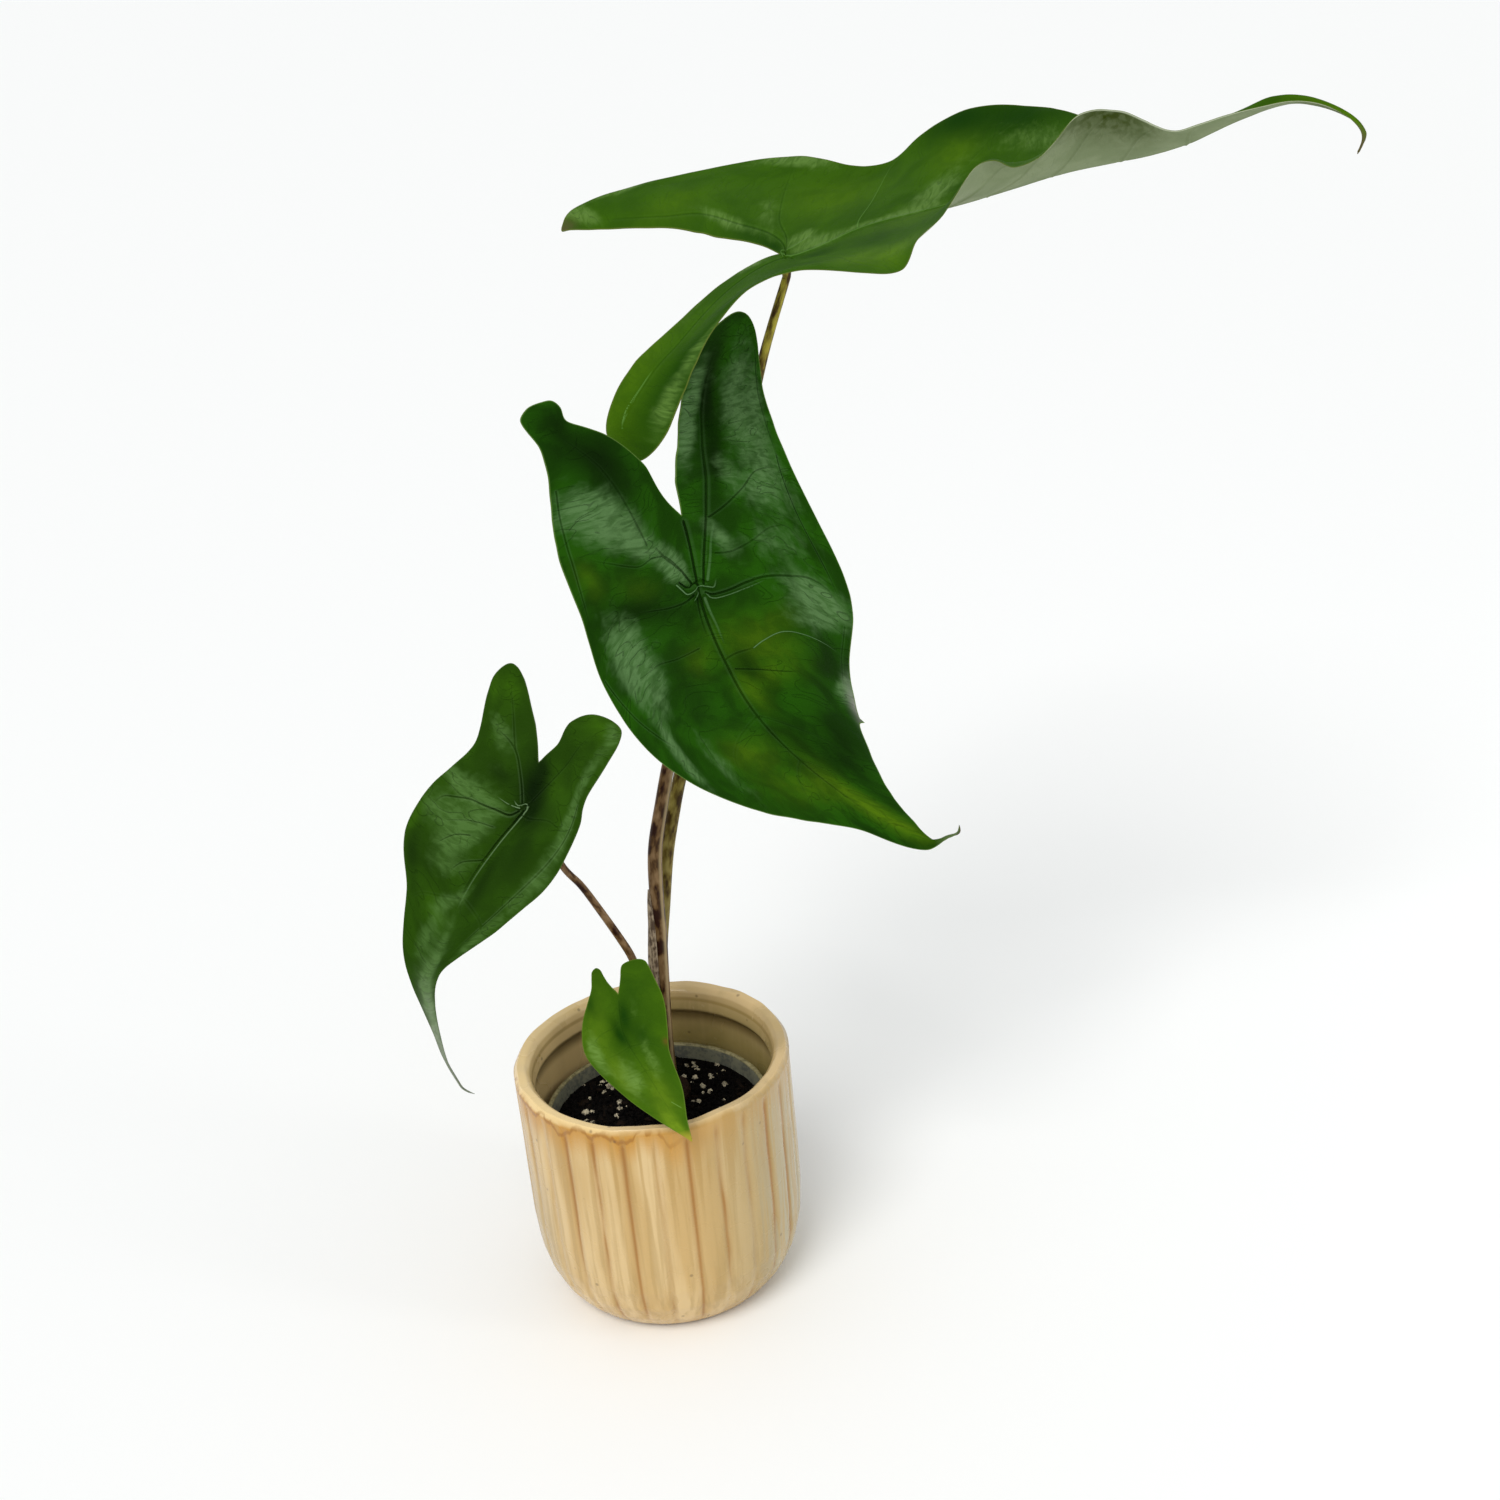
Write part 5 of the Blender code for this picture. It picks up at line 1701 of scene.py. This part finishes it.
@dataclass
class PaperySheath:
    """The thin dry sheath round the foot of the thickest stalk, open along one side and torn at the top."""

    top: float = 137.0
    foot: float = 62.6
    clearance: float = 0.3
    bulge: float = 1.6
    wall: float = 0.25
    crumple: float = 0.2
    tear: float = 1.5
    droop: float = 6.0
    middle: float = math.radians(206)
    half_turn: tuple[float, float] = (math.radians(76), math.radians(30))
    rows: int = 120
    columns: int = 48

    def build(self, stalk: LeafStalk, skin: Material) -> None:
        """Wraps the sheath round its stalk.

        Args:
            stalk: the stalk inside it.
            skin: its finish.
        """
        path = stalk.centre_line()
        run = run_along(path)
        turn = np.linspace(-1, 1, self.columns)
        ridge = np.cos(turn * math.pi / 2)
        hills = Hills(71)
        layers = []
        for layer in (0.0, self.wall):
            for share in np.linspace(0, 1, self.rows):
                height = self.foot + (self.top - self.foot) * share
                centre = np.array([np.interp(height, path[:, 2], path[:, axis]) for axis in range(3)])
                angle = self.middle + np.interp(share, (0, 1), self.half_turn) * turn
                spoke = np.column_stack([np.cos(angle), np.sin(angle), np.zeros(self.columns)])
                # It bulges along its middle and hugs the stalk along both edges.
                crumple = self.crumple * hills.at(spoke + (0, 0, height / 9), 0.45) * ridge
                swell = self.bulge * math.sin(math.pi * share) * ridge**0.7
                reach = stalk.radius(np.interp(height, path[:, 2], run) / run[-1]) + self.clearance + layer
                ring = centre + spoke * (reach + swell + crumple)[:, None]
                torn = self.tear * hills.at(np.column_stack([angle * 4, np.zeros(self.columns)]), 0.6)
                ring[:, 2] += (torn - self.droop * turn**2) * share**8
                layers.append(ring)
        inner = np.array(grid_faces(self.rows, self.columns, ring=False))
        grid = np.arange(self.rows * self.columns).reshape(self.rows, self.columns)
        start = np.concatenate([grid[0], grid[1:-1, -1], grid[-1, ::-1], grid[-2:0:-1, 0]])
        end, outer = np.roll(start, -1), grid.size
        # Each quad is split from its first point, so the order says which way it is cut.
        wall = np.stack([end, end + outer, start + outer, start], axis=1)
        faces = np.vstack([inner[:, [0, 3, 2, 1]], inner[:, [3, 0, 1, 2]] + outer, wall]).tolist()
        settle(build_mesh("dry_sheath", np.vstack(layers), faces, [skin]), "papery_skin", "petiole_sheath")


@dataclass
class Plant:
    """The four leaves, their stalks and the dry sheath."""

    stalks: tuple[LeafStalk, ...] = (
        LeafStalk(HIGH_LEAF, "green_stalk", 2.75, 1.2, [
            (3.9, 15.9, 66), (4.2, 16.4, 84), (4.9, 17, 100), (5.9, 18, 112), (7.9, 19.3, 125),
            (11.2, 22, 145), (15.4, 25, 161), (18.8, 28, 172), (26, 32, 199), (37, 37, 237),
            (48, 41, 273), (56, 42, 299),
        ]),
        LeafStalk(MIDDLE_LEAF, "mottled_stalk", 2.75, 1.5, [
            (4, 10, 66), (4.8, 10.5, 90), (5.6, 11, 106), (6.4, 11.6, 120), (6.8, 12.8, 135),
            (8, 14.2, 150), (11.5, 16, 165), (15.4, 17.6, 179), (22, 19, 199), (27, 19, 218),
        ], seam_highlight=math.radians(315), bruises=((55.6, 2.2), (67.4, 2.0))),
        LeafStalk(LEFT_LEAF, "mottled_stalk", 1.5, 0.9, [
            (-1.2, 12.8, 66), (-1.8, 9.2, 84), (-0.6, 4.4, 106), (-2.4, 1.4, 118), (-4.9, -0.5, 126),
            (-10.6, -4.6, 141), (-14.7, -7.5, 151), (-19.5, -10, 160),
        ]),
        LeafStalk(FRONT_LEAF, "mottled_stalk", 1.2, 0.7, [(0.6, 5.4, 66), (0.2, 1, 80), (-2, -5, 93)]),
    )

    def build(self) -> None:
        """Grows the leaves and sets them on their stalks."""
        under = WaxyLeaf(
            "pale_leaf_underside", "#5E6E48", "#7E8A68", "#303E02", "#9CA88C", "#5C6C40", "#C0C8AC",
            "#5E5038", roughness=0.5, wrinkle=0.4, cloudy=0.35, rim_width=1.0,
        ).material()
        pink = MottledSkin("mottled_stalk_skin", "#7E6644", "#86684A", "#280E02", "#563C1C", "#A8946E", 0.66)
        painted_inner_shade = MottledSkin("olive_stalk_skin", "#807048", "#A49A34", "#3C2A08", "#66561C", "#B0A878", 0.60)
        skins = {"mottled_stalk": pink.material(), "green_stalk": painted_inner_shade.material()}
        for stalk in self.stalks:
            stalk.leaf.build(under)
            stalk.build(skins[stalk.slot])
        paper = CloudyMatter(Matter.SHEATH_SKIN, "#4A3826", "#A08E74", 2.2, 0.6, 0.2, 0.65, 0.15)
        PaperySheath().build(self.stalks[1], paper.material())


@dataclass
class Studio:
    """A plain pale floor, soft lights and the camera."""

    lens: float = 48.0
    camera_place: Row = (0.041, -0.555, 0.440)
    pitch: float = math.radians(24.4)
    roll: float = math.radians(-5.2)
    floor_size: float = 30.0
    sky: float = 0.66
    sun_from: Row = (-0.4, -0.8, 1.15)
    window_from: Row = (0.85, -0.35, 0.25)

    def build(self) -> None:
        """Sets the scene round the part: a dim even sky, a broad sun, a tall window on the right."""
        look, shader, _ = new_look("matt_studio_floor")
        feed(shader, {"Base Color": linear("#FAFAF8"), "Roughness": 0.9, "IOR": 1.45})
        half = self.floor_size / 2 / MM
        corners = np.array([(-half, -half, 0), (half, -half, 0), (half, half, 0), (-half, half, 0)])
        build_mesh("studio_floor", corners, [(0, 1, 2, 3)], [look])
        scene = bpy.context.scene
        scene.world = bpy.data.worlds.new("soft_sky")
        scene.world.use_nodes = True
        feed(scene.world.node_tree.nodes["Background"], {0: (0.96, 0.98, 1.0, 1.0), 1: self.sky})
        scene.view_settings.view_transform = "Standard"
        sun = {"energy": 1.5, "angle": math.radians(30)}
        window = {"shape": "RECTANGLE", "size": 0.14, "size_y": 1.0, "energy": 1.4}
        for name, kind, place, aim, settings in (
            ("sun", "SUN", self.sun_from, (0.0, 0.0, 0.0), sun),
            ("window", "AREA", self.window_from, (0.03, 0.0, 0.12), window),
        ):
            lamp = bpy.data.lights.new(name, kind)
            for key, value in settings.items():
                setattr(lamp, key, value)
            holder = linked(name, lamp)
            holder.location = place
            holder.rotation_euler = (Vector(aim) - Vector(place)).to_track_quat("-Z", "Y").to_euler()
        camera = linked("camera", bpy.data.cameras.new("camera"))
        camera.data.lens, camera.data.sensor_width, camera.data.clip_start = self.lens, 36.0, 0.01
        # The camera rolls first, and then looks down on the plant.
        camera.location, camera.rotation_mode = self.camera_place, "ZYX"
        camera.rotation_euler = (math.pi / 2 - self.pitch, 0.0, self.roll)
        scene.camera = camera


def main() -> None:
    """Builds the part's looks in order."""
    logging.basicConfig(level=logging.INFO, format="%(name)s: %(message)s")
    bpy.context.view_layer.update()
    StonewarePot().build()
    liner = GrowPot()
    liner.build()
    PottingMix().build(liner)
    Corm().build()
    Plant().build()
    Studio().build()


if __name__ == "__main__":
    main()
